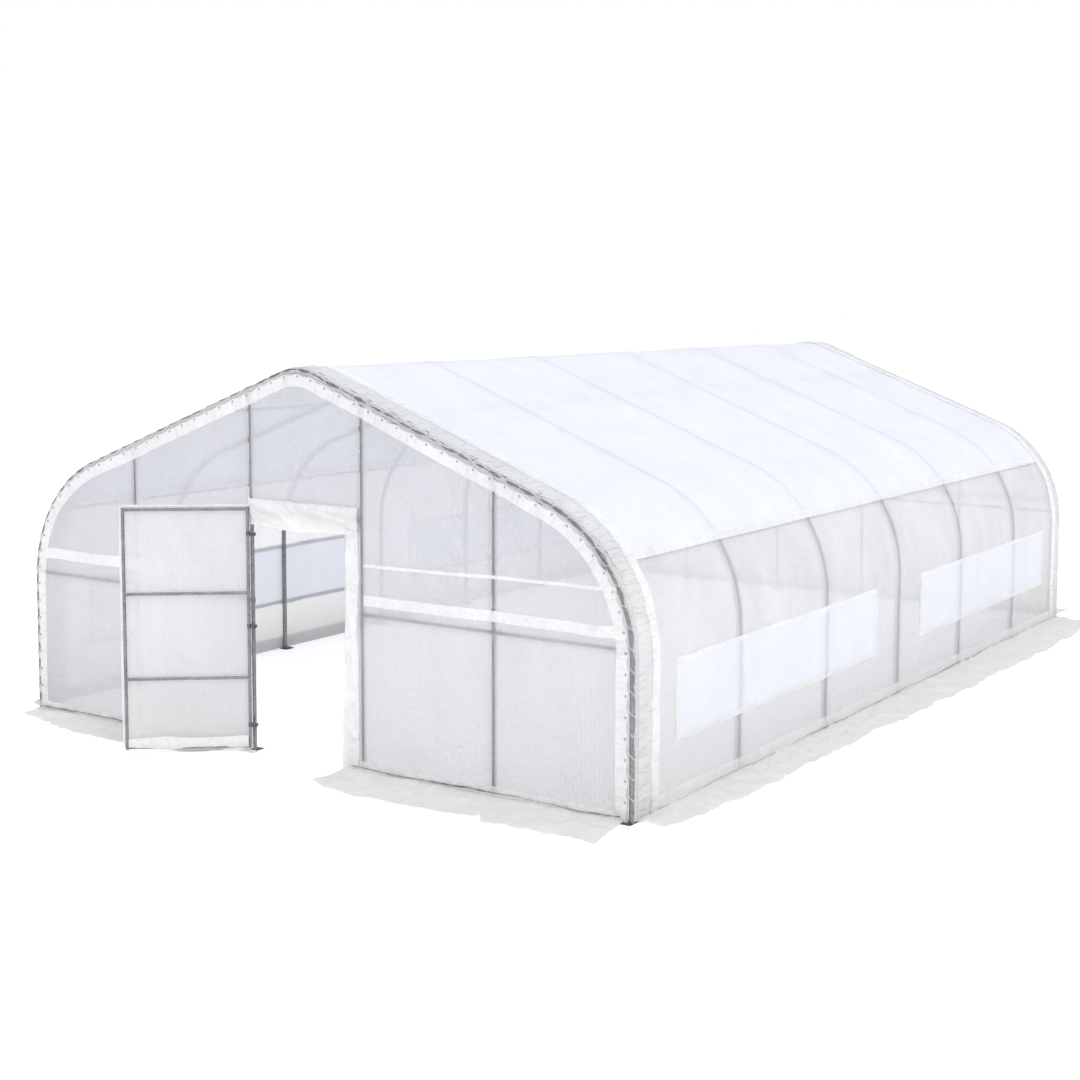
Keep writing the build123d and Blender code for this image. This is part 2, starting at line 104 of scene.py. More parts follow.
# How far each layer of cloth lies over the film below it, so that none cuts another
ROOF_LIFT, PANE_LIFT, RIM_LIFT, BASE_LIFT = 0.0045, 0.0022, 0.0036, 0.0020
TAPE_LIFT, EDGE_LIFT, HEM_LIFT = 0.0062, 0.0065, 0.0095

# The photograph's camera: place, then yaw, pitch and roll in degrees, focal length and optical centre in pixels
CAMERA_AT = (9.186, -14.464, 3.674)
CAMERA_TURN = (-31.643, 5.196, 0.374)
PICTURE, FOCAL, CENTRE = 1080, 1720.3, (639.2, 448.2)
SENSOR = 36

TUBE_ENDINGS = ("hoop", "rails", "posts", "purlin", "purlins", "stile", "header")
TUBE_NODES = [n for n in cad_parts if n.endswith(TUBE_ENDINGS) or n.startswith("hoop_") and n != "hoop_feet"]
PLATE_NODES = ("hoop_feet", "post_feet", "hinge_clamps", "hinge_eyes", "purlin_clamps", "rail_brackets")


def colour(code):
    """A linear colour from an sRGB hex value."""
    parts = [int(code[i:i + 2], 16) / 255 for i in (1, 3, 5)]
    return tuple(c / 12.92 if c <= 0.04045 else ((c + 0.055) / 1.055) ** 2.4 for c in parts) + (1.0,)


# Properties a user would change
TINT = {"subtype": "COLOR", "size": 3, "min": 0, "max": 1}


class FilmSettings(bpy.types.PropertyGroup):
    wall: FloatVectorProperty(
        name="Wall film", description="Colour of the wall film", default=colour("#f4f3f5")[:3], **TINT)
    roof: FloatVectorProperty(
        name="Roof film", description="Colour of the roof film", default=colour("#e8ecf6")[:3], **TINT)
    hem: FloatVectorProperty(
        name="Hems", description="Colour of the doubled hems", default=colour("#fdfdfe")[:3], **TINT)
    grid: FloatProperty(
        name="Reinforcing grid", description="Spacing of the reinforcing threads as drawn", default=0.036,
        unit="LENGTH", min=0.004)
    opacity: FloatProperty(
        name="Opacity", description="Share of the wall film that hides what is behind it", default=0.83,
        subtype="FACTOR", min=0, max=1)
    roof_opacity: FloatProperty(
        name="Roof opacity", description="Share of the roof film that hides what is behind it", default=0.985,
        subtype="FACTOR", min=0, max=1)
    window: FloatVectorProperty(
        name="Windows", description="Colour of the knitted windows", default=colour("#eceff6")[:3], **TINT)
    sag: FloatProperty(
        name="Sag", description="How far the cover sinks between hoops", default=0.014, unit="LENGTH", min=0)
    crease: FloatProperty(
        name="Crease depth", description="Depth of the creases in the film", default=0.006, unit="LENGTH", min=0)


class TrimSettings(bpy.types.PropertyGroup):
    tie: FloatProperty(
        name="Lacing pitch", description="Distance between two turns of the lacing rope", default=0.150,
        unit="LENGTH", min=0.05)
    rope: FloatProperty(
        name="Rope radius", description="Radius of the lacing rope", default=0.0025, unit="LENGTH", min=0.001)
    hem: FloatProperty(
        name="End hem", description="Width of the hem round an end wall", default=0.095, unit="LENGTH", min=0.02)
    band: FloatProperty(
        name="Cover hem", description="Width of the hem across the cover near its ends", default=0.106, unit="LENGTH",
        min=0.02)


class StageSettings(bpy.types.PropertyGroup):
    sky: FloatProperty(
        name="Surround", description="Strength of the surround light at the horizon", default=0.66, min=0)
    zenith: FloatProperty(name="Overhead", description="Strength of the surround light overhead", default=0.90, min=0)
    key: FloatProperty(name="Key light", description="Strength of the soft light from the right", default=1.5, min=0)
    fill: FloatProperty(name="Floor fill", description="Light the floor gives back of its own", default=0.40, min=0)
    floor: FloatVectorProperty(name="Floor", description="Colour of the floor", default=colour("#f3f3f3")[:3], **TINT)


# Materials
def node(tree, kind, settings, links={}, out=0):
    """Add one shader node with its settings and links, and give back one of its outputs."""
    made = tree.nodes.new("ShaderNode" + kind)
    for key, value in settings.items():
        if key == "stops":
            for stop, (position, tone) in zip(made.color_ramp.elements, value):
                stop.position, stop.color = position, tone
        elif hasattr(made, str(key)):
            setattr(made, key, value)
        else:
            made.inputs[key].default_value = value
    for key, source in links.items():
        tree.links.new(source, made.inputs[key])
    return made.outputs[out] if made.outputs else made


def blank(name):
    """A new material with no nodes, and the call that adds one to it."""
    material = bpy.data.materials.new(name)
    material.use_nodes = True
    material.node_tree.nodes.clear()
    return material, partial(node, material.node_tree)


def tone_of(base, share):
    return tuple(c * share for c in base) + (1,)


def film(name, base, opacity, glow, pitch, weave, crumple, gathers=0.0, soil=0.30, mottle=0.94):
    """Woven polyethylene sheet coated both sides: milky, lit through from behind, with a square grid of
    reinforcing threads 10 to 12 mm apart, drawn three times as coarse so that it shows, fine crumples,
    and soil splashed on its lowest metre. Gathers are short tucks 15 mm apart across a hem, dented into the relief
    and painted darker as shade. Where it lies tight on a tube, which the mesh's cling attribute says, the tube shows
    through clearly, as through wet paper."""
    material, add = blank(name)
    uv = add("TexCoord", {}, {}, "UV")
    place = add("TexCoord", {}, {}, "Object")

    # Reinforcing threads, the warp clearer than the weft
    threads = []
    for axis, sharpness in ((0, 5.0), (1, 9.0)):
        part = add("SeparateXYZ", {}, {0: uv}, axis)
        wave = add("Math", {"operation": "MULTIPLY", 1: 2 * math.pi / pitch}, {0: part})
        wave = add("Math", {"operation": "COSINE"}, {0: wave})
        wave = add("Math", {"operation": "MULTIPLY_ADD", 1: 0.5, 2: 0.5}, {0: wave})
        threads.append(add("Math", {"operation": "POWER", 1: sharpness}, {0: wave}))
    weft = add("Math", {"operation": "MULTIPLY", 1: 0.55}, {0: threads[1]})
    grid = add("Math", {"operation": "MAXIMUM"}, {0: threads[0], 1: weft})

    # Cloudy base colour, darker threads, soil near the ground, and painted shade in the tucks
    hanging = add("Mapping", {"Scale": (1.7, 1.7, 0.8)}, {"Vector": place})
    cloud = add("TexNoise", {"Scale": 1.3, "Detail": 5.0, "Roughness": 0.62}, {"Vector": hanging})
    tint = add("ValToRGB", {"stops": ((0.32, tone_of(base, mottle)), (0.68, tone_of(base, 1)))}, {0: cloud})
    woven = add("Math", {"operation": "MULTIPLY", 1: weave}, {0: grid})
    ground = add("SeparateXYZ", {}, {0: place}, 2)
    ground = add("MapRange", {"From Min": 0.95, "From Max": 0.05, "To Max": soil}, {"Value": ground})
    splash = add("Math", {"operation": "MULTIPLY"}, {0: ground, 1: cloud})
    tucks = add("Mapping", {"Scale": (48, 5, 1)}, {"Vector": uv})
    tucks = add("TexNoise", {"Scale": 1.0, "Detail": 3.0, "Roughness": 0.7}, {"Vector": tucks})
    tuck_relief_and_shade = add("MapRange", {"From Min": 0.50, "From Max": 0.72, "To Max": gathers}, {"Value": tucks})
    # The threads and soil are the film's own colour; the tucks are painted darker as shade
    for share, tone in ((woven, tone_of(base, 0.84)), (splash, colour("#a9a59b")), (tuck_relief_and_shade, tone_of(base, 0.55))):
        tint = add("Mix", {"data_type": "RGBA", 7: tone}, {0: share, 6: tint}, 2)

    # Relief: fine crumples on wider folds, tucks and threads
    fine = add("TexNoise", {"Scale": 22.0, "Detail": 7.0, "Roughness": 0.6, "Distortion": 0.8}, {"Vector": place})
    folds = add("TexNoise", {"Scale": 4.5, "Detail": 4.0, "Distortion": 1.2}, {"Vector": place})
    height = add("Math", {"operation": "MULTIPLY_ADD", 1: 0.5}, {0: fine, 2: folds})
    height = add("Math", {"operation": "MULTIPLY", 1: crumple}, {0: height})
    height = add("Math", {"operation": "MULTIPLY_ADD", 1: -0.8}, {0: tuck_relief_and_shade, 2: height})
    height = add("Math", {"operation": "MULTIPLY_ADD", 1: 0.04}, {0: grid, 2: height})
    bump = add("Bump", {"Strength": 0.6, "Distance": 0.014}, {"Height": height})

    # The film gives light back, passes it scattered, and lets part of it straight through
    skin = {"Roughness": 0.42, "IOR": 1.5, "Specular IOR Level": 0.3}
    skin = add("BsdfPrincipled", skin, {"Base Color": tint, "Normal": bump})
    through = add("BsdfTranslucent", {}, {"Color": tint, "Normal": bump})
    body = add("MixShader", {0: glow}, {1: skin, 2: through})
    haze = add("Math", {"operation": "MULTIPLY_ADD", 1: 0.06, 2: opacity - 0.03}, {0: cloud})
    haze = add("Math", {"operation": "MULTIPLY_ADD", 1: (1 - opacity) * 0.5, "use_clamp": True}, {0: grid, 2: haze})
    cling = add("Attribute", {"attribute_name": "cling"}, {}, "Fac")
    haze = add("Math", {"operation": "MULTIPLY_ADD", 1: -0.62, "use_clamp": True}, {0: cling, 2: haze})
    clear = add("BsdfTransparent", {"Color": (1, 1, 1, 1)})
    mixed = add("MixShader", {}, {0: haze, 1: clear, 2: body})
    add("OutputMaterial", {}, {"Surface": mixed})
    return material


def zinc(name, light, dark, rough):
    """Hot-dip galvanised steel: dull grey zinc, mottled with spangle 5 to 10 mm wide, darker where weathered."""
    material, add = blank(name)
    place = add("TexCoord", {}, {}, "Object")
    spangle = add("TexVoronoi", {"Scale": 90.0}, {"Vector": place}, "Color")
    weather = add("TexNoise", {"Scale": 6.0, "Detail": 7.0, "Roughness": 0.65}, {"Vector": place})
    weathered = add("Math", {"operation": "MULTIPLY", 1: 0.65}, {0: weather})
    mottle = add("Math", {"operation": "MULTIPLY_ADD", 1: 0.35}, {0: spangle, 2: weathered})
    tone = add("ValToRGB", {"stops": ((0.25, colour(dark)), (0.70, colour(light)))}, {0: mottle})
    gloss = add("MapRange", {"To Min": rough - 0.08, "To Max": rough + 0.14}, {"Value": weather})
    bump = add("Bump", {"Strength": 0.15, "Distance": 0.0005}, {"Height": mottle})
    metal = add("BsdfPrincipled", {"Metallic": 0.8}, {"Base Color": tone, "Roughness": gloss, "Normal": bump})
    add("OutputMaterial", {}, {"Surface": metal})
    return material


def rope(name, light, dark):
    """Twisted polypropylene rope: pale strands with painted shade in the hollows about 8 mm apart."""
    material, add = blank(name)
    uv = add("TexCoord", {}, {}, "UV")
    turned = add("Mapping", {"Rotation": (0, 0, 0.8)}, {"Vector": uv})
    twist = add("TexWave", {"Scale": 40.0, "Distortion": 0.3}, {"Vector": turned}, "Fac")
    # The hollows between strands are painted darker as shade
    tone = add("ValToRGB", {"stops": ((0.1, colour(dark)), (0.6, colour(light)))}, {0: twist})
    bump = add("Bump", {"Strength": 0.6, "Distance": 0.001}, {"Height": twist})
    skin = add("BsdfPrincipled", {"Roughness": 0.7}, {"Base Color": tone, "Normal": bump})
    add("OutputMaterial", {}, {"Surface": skin})
    return material


def crease_shadow_material():
    """Painted shadow in the crease where film meets the ground: a dark, matt strip with lighter flecks."""
    material, add = blank("crease_shadow_film")
    place = add("TexCoord", {}, {}, "Object")
    flecks = add("TexNoise", {"Scale": 14.0, "Detail": 6.0, "Roughness": 0.7}, {"Vector": place})
    # Painted shadow colour: dark, with lighter flecks
    tone = add("ValToRGB", {"stops": ((0.38, colour("#5b5954")), (0.66, colour("#b9b7b2")))}, {0: flecks})
    bump = add("Bump", {"Strength": 0.5, "Distance": 0.002}, {"Height": flecks})
    skin = add("BsdfPrincipled", {"Roughness": 0.9}, {"Base Color": tone, "Normal": bump})
    add("OutputMaterial", {}, {"Surface": skin})
    return material


def finish(name):
    """The named material, made the first time it is asked for."""
    if name in bpy.data.materials:
        return bpy.data.materials[name]
    p = bpy.context.scene.polytunnel_film
    wall, roof, hem, window = (tuple(tone) for tone in (p.wall, p.roof, p.hem, p.window))
    # Each film's colour, opacity, glow, thread pitch, weave, crumple, then its gathers with their painted shade, soil
    # and mottle
    films = {
        "coated_wall_film": (wall, p.opacity, 0.64, p.grid, 0.70, 2.2, 0.0, 0.55, 0.87),
        "coated_end_film": (wall, p.opacity, 0.78, p.grid, 0.70, 2.3, 0.0, 0.45, 0.93),
        "coated_door_film": (wall, p.opacity, 0.50, p.grid, 0.60, 2.4, 0.0, 0.35, 0.92),
        "coated_roof_film": (roof, p.roof_opacity, 0.23, p.grid, 0.20, 0.4),
        "doubled_hem_film": (hem, 0.97, 0.35, p.grid / 2, 0.15, 1.6, 0.34, 0.2),
        "folded_flap_film": (hem, 0.95, 0.28, p.grid / 2, 0.15, 5.0, 0.0, 0.12),
        "laced_edge_film": (tone_of(hem, 0.92)[:3], 0.94, 0.45, p.grid / 2, 0.15, 1.8, 0.55, 0.2),
        "loose_skirt_film": (tone_of(hem, 0.80)[:3], 0.94, 0.30, p.grid, 0.30, 1.8, 0.25, 0.25),
        "knitted_window_mesh": (window, 0.97, 0.40, 0.012, 0.25, 0.5, 0.0, 0.1),
    }
    if name in films:
        return film(name, *films[name])
    if name == "galvanised_steel_tube":
        return zinc(name, "#9c9d9f", "#68696b", 0.45)
    if name == "galvanised_steel_plate":
        return zinc(name, "#7e7f81", "#515254", 0.5)
    if name == "twisted_polypropylene_rope":
        return rope(name, "#f4f4f6", "#a6aab0")
    return crease_shadow_material()


# Shapes
def hoop_line(s):
    """Point (x, z) on the hoop's centreline and its outward direction, at a distance s from the right foot."""
    s = np.asarray(s, float)
    far = s > HALF_LONG
    t = np.where(far, WHOLE_LONG - s, s)
    a = np.clip((t - EAVE_Z) / EAVE_R, 0, math.pi / 2 - SLOPE)
    b = np.clip((t - EAVE_Z - ARC_LONG - RAFTER_LONG) / RIDGE_R, 0, SLOPE)
    r = np.clip(t - EAVE_Z - ARC_LONG, 0, RAFTER_LONG)
    ridge = t > EAVE_Z + ARC_LONG + RAFTER_LONG
    rafter = (t > EAVE_Z + ARC_LONG) & ~ridge
    turn = math.pi / 2 - SLOPE + b
    x = np.where(rafter, EAVE_END[0] - r * math.cos(SLOPE), EAVE_X + EAVE_R * np.cos(a))
    z = np.where(rafter, EAVE_END[1] + r * math.sin(SLOPE), EAVE_Z + EAVE_R * np.sin(a))
    x = np.where(ridge, RIDGE_R * np.cos(turn), x)
    z = np.where(ridge, RIDGE_Z + RIDGE_R * np.sin(turn), np.where(t < EAVE_Z, t, z))
    angle = np.where(ridge, turn, a)
    nx, nz = np.cos(angle), np.sin(angle)
    return np.where(far, -x, x), z, np.where(far, -nx, nx), nz


def noise(u, v, seed):
    """Smooth random height from -1 to 1, with about one hill to a unit."""
    table = np.random.RandomState(seed).uniform(-1, 1, (61, 61))
    u, v = np.broadcast_arrays(np.asarray(u, float), np.asarray(v, float))
    iu, iv = np.floor(u).astype(int), np.floor(v).astype(int)
    fu, fv = u - iu, v - iv
    fu, fv = fu * fu * (3 - 2 * fu), fv * fv * (3 - 2 * fv)
    low = table[iu % 61, iv % 61] * (1 - fu) + table[(iu + 1) % 61, iv % 61] * fu
    high = table[iu % 61, (iv + 1) % 61] * (1 - fu) + table[(iu + 1) % 61, (iv + 1) % 61] * fu
    return low * (1 - fv) + high * fv


def creases(u, v, seed, octaves=4):
    """Sharp-ridged folds from 0 to about 1, as in film that was packed folded."""
    total, gain = 0.0, 1.0
    for k in range(octaves):
        turn = 0.6 + 1.1 * k + seed * 0.37
        a = u * math.cos(turn) - v * math.sin(turn)
        b = u * math.sin(turn) + v * math.cos(turn)
        total = total + gain * (1 - np.abs(noise(a * 1.9 ** k, b * 1.9 ** k, seed + 11 * k))) ** 2
        gain *= 0.55
    return total / 2


def pairs(a, b):
    """Every pair of a place from a and one from b, as two grids."""
    return np.meshgrid(a, b, indexing="ij")


def lines(low, high, step, through=()):
    """Evenly spaced grid lines from low to high that pass exactly through the given places."""
    stops = sorted({low, high, *[t for t in through if low < t < high]})
    parts = [np.linspace(a, b, max(2, int(round((b - a) / step)) + 1))[:-1] for a, b in zip(stops, stops[1:])]
    return np.concatenate(parts + [[high]])


def add_grid(name, points, uv, outward, keep=None):
    """A smooth sheet from a grid of points. keep says which cells stay; outward is where its faces look. A third
    value beside uv says how closely the film clings to what is behind it."""
    rows, columns = points.shape[:2]
    index = np.arange(rows * columns).reshape(rows, columns)
    quads = np.stack([index[:-1, :-1], index[1:, :-1], index[1:, 1:], index[:-1, 1:]], -1)
    quads = quads[keep] if keep is not None else quads.reshape(-1, 4)
    used, flat = np.unique(quads, return_inverse=True)
    flat = flat.reshape(-1, 4)
    mesh = bpy.data.meshes.new(name)
    mesh.from_pydata(points.reshape(-1, 3)[used].tolist(), [], flat.tolist())
    layer = mesh.uv_layers.new(name="UVMap")
    layer.data.foreach_set("uv", uv[..., :2].reshape(-1, 2)[used][flat.ravel()].astype(np.float32).ravel())
    if uv.shape[-1] > 2:
        layer = mesh.attributes.new("cling", "FLOAT", "POINT")
        layer.data.foreach_set("value", uv[..., 2].ravel()[used].astype(np.float32))
    mesh.polygons.foreach_set("use_smooth", [True] * len(mesh.polygons))
    if outward is not None and sum((p.normal * p.area for p in mesh.polygons), Vector()).dot(Vector(outward)) < 0:
        mesh.flip_normals()
    piece = bpy.data.objects.new(name, mesh)
    bpy.context.scene.collection.objects.link(piece)
    return piece


def dress(piece, material, replaced=(), body="tunnel"):
    """Give a piece its material and the body it rides on, and hide the nodes it stands for."""
    piece.data.materials.clear()
    piece.data.materials.append(finish(material))
    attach(piece, body)
    if replaced:
        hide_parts(*replaced)
    return piece


def area_of(piece):
    return float(sum(p.area for p in piece.data.polygons))


def tube_along(name, path, radius, sides, inner):
    """A tube along a path, of one radius or one for each point; inner is a direction that isn't along the path."""
    step = np.gradient(path, axis=0)
    step /= np.linalg.norm(step, axis=1)[:, None]
    side = np.cross(step, inner)
    side /= np.linalg.norm(side, axis=1)[:, None]
    other = np.cross(side, step)
    turn = np.linspace(0, 2 * math.pi, sides + 1)
    ring = side[:, None] * np.cos(turn)[None, :, None] + other[:, None] * np.sin(turn)[None, :, None]
    run = np.concatenate([[0], np.cumsum(np.linalg.norm(np.diff(path, axis=0), axis=1))])
    radius = np.broadcast_to(radius, len(path))[:, None]
    uv = np.stack(np.broadcast_arrays(run[:, None], turn[None, :] * radius), -1)
    piece = add_grid(name, path[:, None] + ring * radius[:, :, None], uv, None)
    merge_seam(piece)
    return piece


def merge_seam(piece):
    """Close a tube where its first and last lines meet, and turn its faces outwards."""
    select_only(piece)
    bpy.ops.object.mode_set(mode="EDIT")
    bpy.ops.mesh.select_all(action="SELECT")
    bpy.ops.mesh.remove_doubles(threshold=0.00002)
    bpy.ops.mesh.normals_make_consistent(inside=False)
    bpy.ops.object.mode_set(mode="OBJECT")


def select_only(*pieces):
    bpy.ops.object.select_all(action="DESELECT")
    for piece in pieces:
        piece.select_set(True)
    bpy.context.view_layer.objects.active = pieces[0]


def repeat(first, name, places):
    """Copy a modelled piece to each place, with its own mesh, and join the copies into one piece."""
    copies = []
    for matrix in places:
        copy = bpy.data.objects.new(name, first.data.copy())
        copy.data.transform(matrix)
        bpy.context.scene.collection.objects.link(copy)
        copies.append(copy)
    bpy.data.objects.remove(first)
    select_only(*copies)
    bpy.ops.object.join()
    piece = bpy.context.object
    piece.name = name
    return piece


# The film over the hoops
def cover_bulge(s, y):
    """How far the cover stands off its stretched shape: it sinks between hoops and crumples near its laced ends."""
    p = bpy.context.scene.polytunnel_film
    along = (y - FRONT_Y) / BAY
    between = np.sin(np.pi * (along % 1.0)) ** 2
    from_end = np.minimum(y - COVER_Y, -COVER_Y - y).clip(0)
    laced = np.clip(1 - from_end / 0.24, 0, 1)
    loose = -p.sag * between * (0.6 + 0.4 * noise(s * 0.8, along, 3))
    upright = 0.0045 * noise(y * 4.2, s * 0.7, 4) * (0.10 + between)
    pulled = 0.0025 * noise(y * 1.2, s * 7.0, 5) * between
    worn = p.crease * (creases(y * 3.0, s * 2.6, 6) - 0.45) * (0.15 + 0.7 * between)
    gather = 0.013 * creases(y * 3.0, s * 13.0, 7, 3) * np.sin(np.pi * laced) ** 2
    return loose + upright + pulled + worn + gather


def on_cover(s, y, lift):
    x, z, nx, nz = hoop_line(s)
    d = FILM_OFF + cover_bulge(s, y) + lift
    return np.stack([x + nx * d, y, z + nz * d], -1)


def cover_piece(
        name, s, y, lift, material, outward, replaced=(), keep=None, crush=0.0, seed=31, across=False, wave=0.0):
    """A stretch of cloth over the hoops. crush is its own creases' depth, and wave how far its edges wander;
    across turns its threads and that wandering from along the tunnel to along the hoops."""
    gs, gy = pairs(s, y)
    extra = crush * creases(gy * 9.0, gs * 9.0, seed, 3) if crush else 0.0
    if keep is not None:
        keep = keep((gs[:-1, :-1] + gs[1:, 1:]) / 2, (gy[:-1, :-1] + gy[1:, 1:]) / 2)
    uv = np.stack([gs, gy] if across else [gy, gs], -1)
    run = gs if across else gy
    shift = wave * (noise(run * 5, 0.0, seed + 1) + 0.4 * noise(run * 17, 0.0, seed + 2))
    gs, gy = (gs, gy + shift) if across else (np.clip(gs + shift, 0, WHOLE_LONG), gy)
    return dress(add_grid(name, on_cover(gs, gy, lift + extra), uv, outward, keep), material, replaced)


def outside_windows(s, y):
    """True where neither side of the cover is cut for a window."""
    up = np.minimum(s, WHOLE_LONG - s)
    along = np.any([(y > start) & (y < start + WINDOW_LONG) for start in WINDOW_STARTS], axis=0)
    return ~(along & (up > WINDOW_LOW) & (up < WINDOW_LOW + WINDOW_HIGH))


def from_foot(s, far):
    return WHOLE_LONG - s if far else s


# End walls
def wall_edge(x):
    """Height of the end wall's edge at x, and the edge as points from foot to foot."""
    s = np.linspace(0.003, WHOLE_LONG - 0.003, 1200)
    ex, ez, nx, nz = hoop_line(s)
    edge = np.stack([ex - nx * WALL_INSET, ez - nz * WALL_INSET], -1)
    right = edge[:600][::-1]
    return np.interp(np.abs(x), right[:, 0], right[:, 1]), edge


def wall_bulge(x, z, outward):
    """How far the end wall bellies out between the posts, with hanging folds below the rail.
    The front wall stays nearly flat where the shut door and the flap over the doorway lie against it."""
    seed = WALL_SEED[outward]
    stops = np.array(sorted((-HALF, HALF) + DOOR_POSTS + OUTER_POSTS))
    cell = np.clip(np.searchsorted(stops, x) - 1, 0, len(stops) - 2)
    share = np.clip((x - stops[cell]) / (stops[cell + 1] - stops[cell]), 0, 1)
    away = np.minimum(share, 1 - share) * (stops[cell + 1] - stops[cell])
    free = np.clip((away - 0.02) / 0.25, 0, 1)
    low = 1 / (1 + np.exp((z - 1.17) / 0.05))
    near_rail = np.clip(np.abs(z - 1.215) / 0.10, 0, 1)
    folds = 0.014 * (1 + noise(x * 6.0 + 0.4 * z, z * 0.5, seed)) * (0.12 + 0.88 * low)
    belly = 0.012 * np.sin(np.pi * share) ** 2 * (0.35 + 0.65 * low)
    drape = 0.007 * (1 + noise(x * 2.3 + z * 0.9, z * 1.0, seed + 1))
    worn = 0.010 * creases(x * 2.6, z * 1.9, seed + 2)
    pinned = 0.30 + 0.70 * np.clip(z / 0.30, 0, 1)
    bulge = (folds + belly + drape + worn) * free * (0.45 + 0.55 * near_rail) * pinned
    if outward < 0:
        shut = (np.abs(x) < DOOR_LANDS[0]) & (z < DOOR_LANDS[1])
        shut |= (np.abs(x) < DOOR_POSTS[1]) & (np.abs(z - HEADER_Z) < 0.12)
        bulge = np.where(shut, np.minimum(bulge, 0.0045), bulge)
    return bulge


def end_wall(name, outward, replaced):
    """An end wall's film, cut to the hoop's inner edge, and at the front to the doorway."""
    doorway = outward < 0
    posts = DOOR_POSTS + OUTER_POSTS
    cuts_x = [x + side for x in posts for side in (-0.020, -0.014, 0.014, 0.020)]
    cuts_x += (DOORWAY_LEFT, DOORWAY_RIGHT) if doorway else ()
    across = lines(WALL_INSET - HALF, HALF - WALL_INSET, 0.023, cuts_x)
    upward = lines(0.004, HEIGHT - WALL_INSET, 0.023, (DOORWAY_TOP,) if doorway else ())
    gx, gz = pairs(across, upward)
    top, edge = wall_edge(gx)
    inside = gz < top + 1e-6
    keep = inside[:-1, :-1] | inside[1:, :-1] | inside[:-1, 1:] | inside[1:, 1:]
    if doorway:
        mx, mz = (gx[:-1, :-1] + gx[1:, 1:]) / 2, (gz[:-1, :-1] + gz[1:, 1:]) / 2
        keep &= ~((mx > DOORWAY_LEFT) & (mx < DOORWAY_RIGHT) & (mz < DOORWAY_TOP))

    # Corners of kept cells that lie outside move to the nearest place on the edge
    near = np.zeros(inside.shape, bool)
    for rows in (slice(None, -1), slice(1, None)):
        for columns in (slice(None, -1), slice(1, None)):
            near[rows, columns] |= keep
    for i, j in zip(*np.where(~inside & near)):
        gap = (edge[:, 0] - gx[i, j]) ** 2 + (edge[:, 1] - gz[i, j]) ** 2
        gx[i, j], gz[i, j] = edge[gap.argmin()]
    points = np.stack([gx, outward * (-WALL_Y + wall_bulge(gx, gz, outward)), gz], -1)
    tight = np.min([np.abs(gx - x) for x in posts], axis=0) < 0.015
    uneven = 0.80 + 0.20 * noise(gx * 3, gz * 4, WALL_SEED[outward] + 9)
    cling = tight * np.clip((gz - 1.30) / 0.25, 0.15, 1) * uneven
    piece = add_grid(name, points, np.stack([gx, gz, cling], -1), (0, outward, 0), keep)
    return dress(piece, "coated_end_film", replaced)


def wall_piece(name, x, z, lift, outward, crush=0.0, shape=None):
    """A strip of film on an end wall, over the wall's own folds. shape bends its grid first."""
    gx, gz = pairs(x, z)
    uv = np.stack([gx, gz], -1)
    if shape is not None:
        gx, gz = shape(gx, gz)
    extra = crush * creases(gx * 8.0, gz * 11.0, WALL_SEED[outward] + 5, 3)
    points = np.stack([gx, outward * (-WALL_Y + wall_bulge(gx, gz, outward) + lift + extra), gz], -1)
    return dress(add_grid(name, points, uv, (0, outward, 0)), "folded_flap_film")


def edge_hem(name, outward):
    """The doubled hem round an end wall, drawn in to the hoop at each turn of rope and scalloped between."""
    trim = bpy.context.scene.polytunnel_trim
    gs, gw = pairs(np.linspace(0.006, WHOLE_LONG - 0.006, 1150), np.linspace(0, 1, 9))
    x, z, nx, nz = hoop_line(gs)
    slack = np.sin(np.pi * gs / trim.tie) ** 2
    inset = WALL_INSET + 0.011 * slack * (1 - gw) + trim.hem * gw
    px, pz = x - nx * inset, z - nz * inset
    ruffle = 0.010 * creases(gs * 13.0, gw * 1.2, WALL_SEED[outward] + 7, 3) * (1 - 0.6 * gw)
    ruffle += 0.006 * slack * (1 - gw)
    points = np.stack([px, outward * (-WALL_Y + wall_bulge(px, pz, outward) + 0.002 + ruffle * 0.9), pz], -1)
    piece = add_grid(name, points, np.stack([gs, gw * trim.hem], -1), (0, outward, 0))
    return dress(piece, "doubled_hem_film", ["end_hems"])


def lacing(name, outward):
    """One rope wound round an end hoop through the eyelets of both hems."""
    trim = bpy.context.scene.polytunnel_trim
    s = np.linspace(0.06, WHOLE_LONG - 0.06, int(WHOLE_LONG / trim.tie * 14))
    x, z, nx, nz = hoop_line(s)
    turn = 2 * np.pi * s / trim.tie
    r = 0.0232 + trim.rope
    out, front = np.cos(turn) * r, np.sin(turn) * r
    path = np.stack([x + nx * out, outward * (-FRONT_Y + front), z + nz * out], -1)
    inner = np.stack([nx * np.cos(turn), outward * np.sin(turn), nz * np.cos(turn)], -1)
    return dress(tube_along(name, path, trim.rope, 6, inner), "twisted_polypropylene_rope")


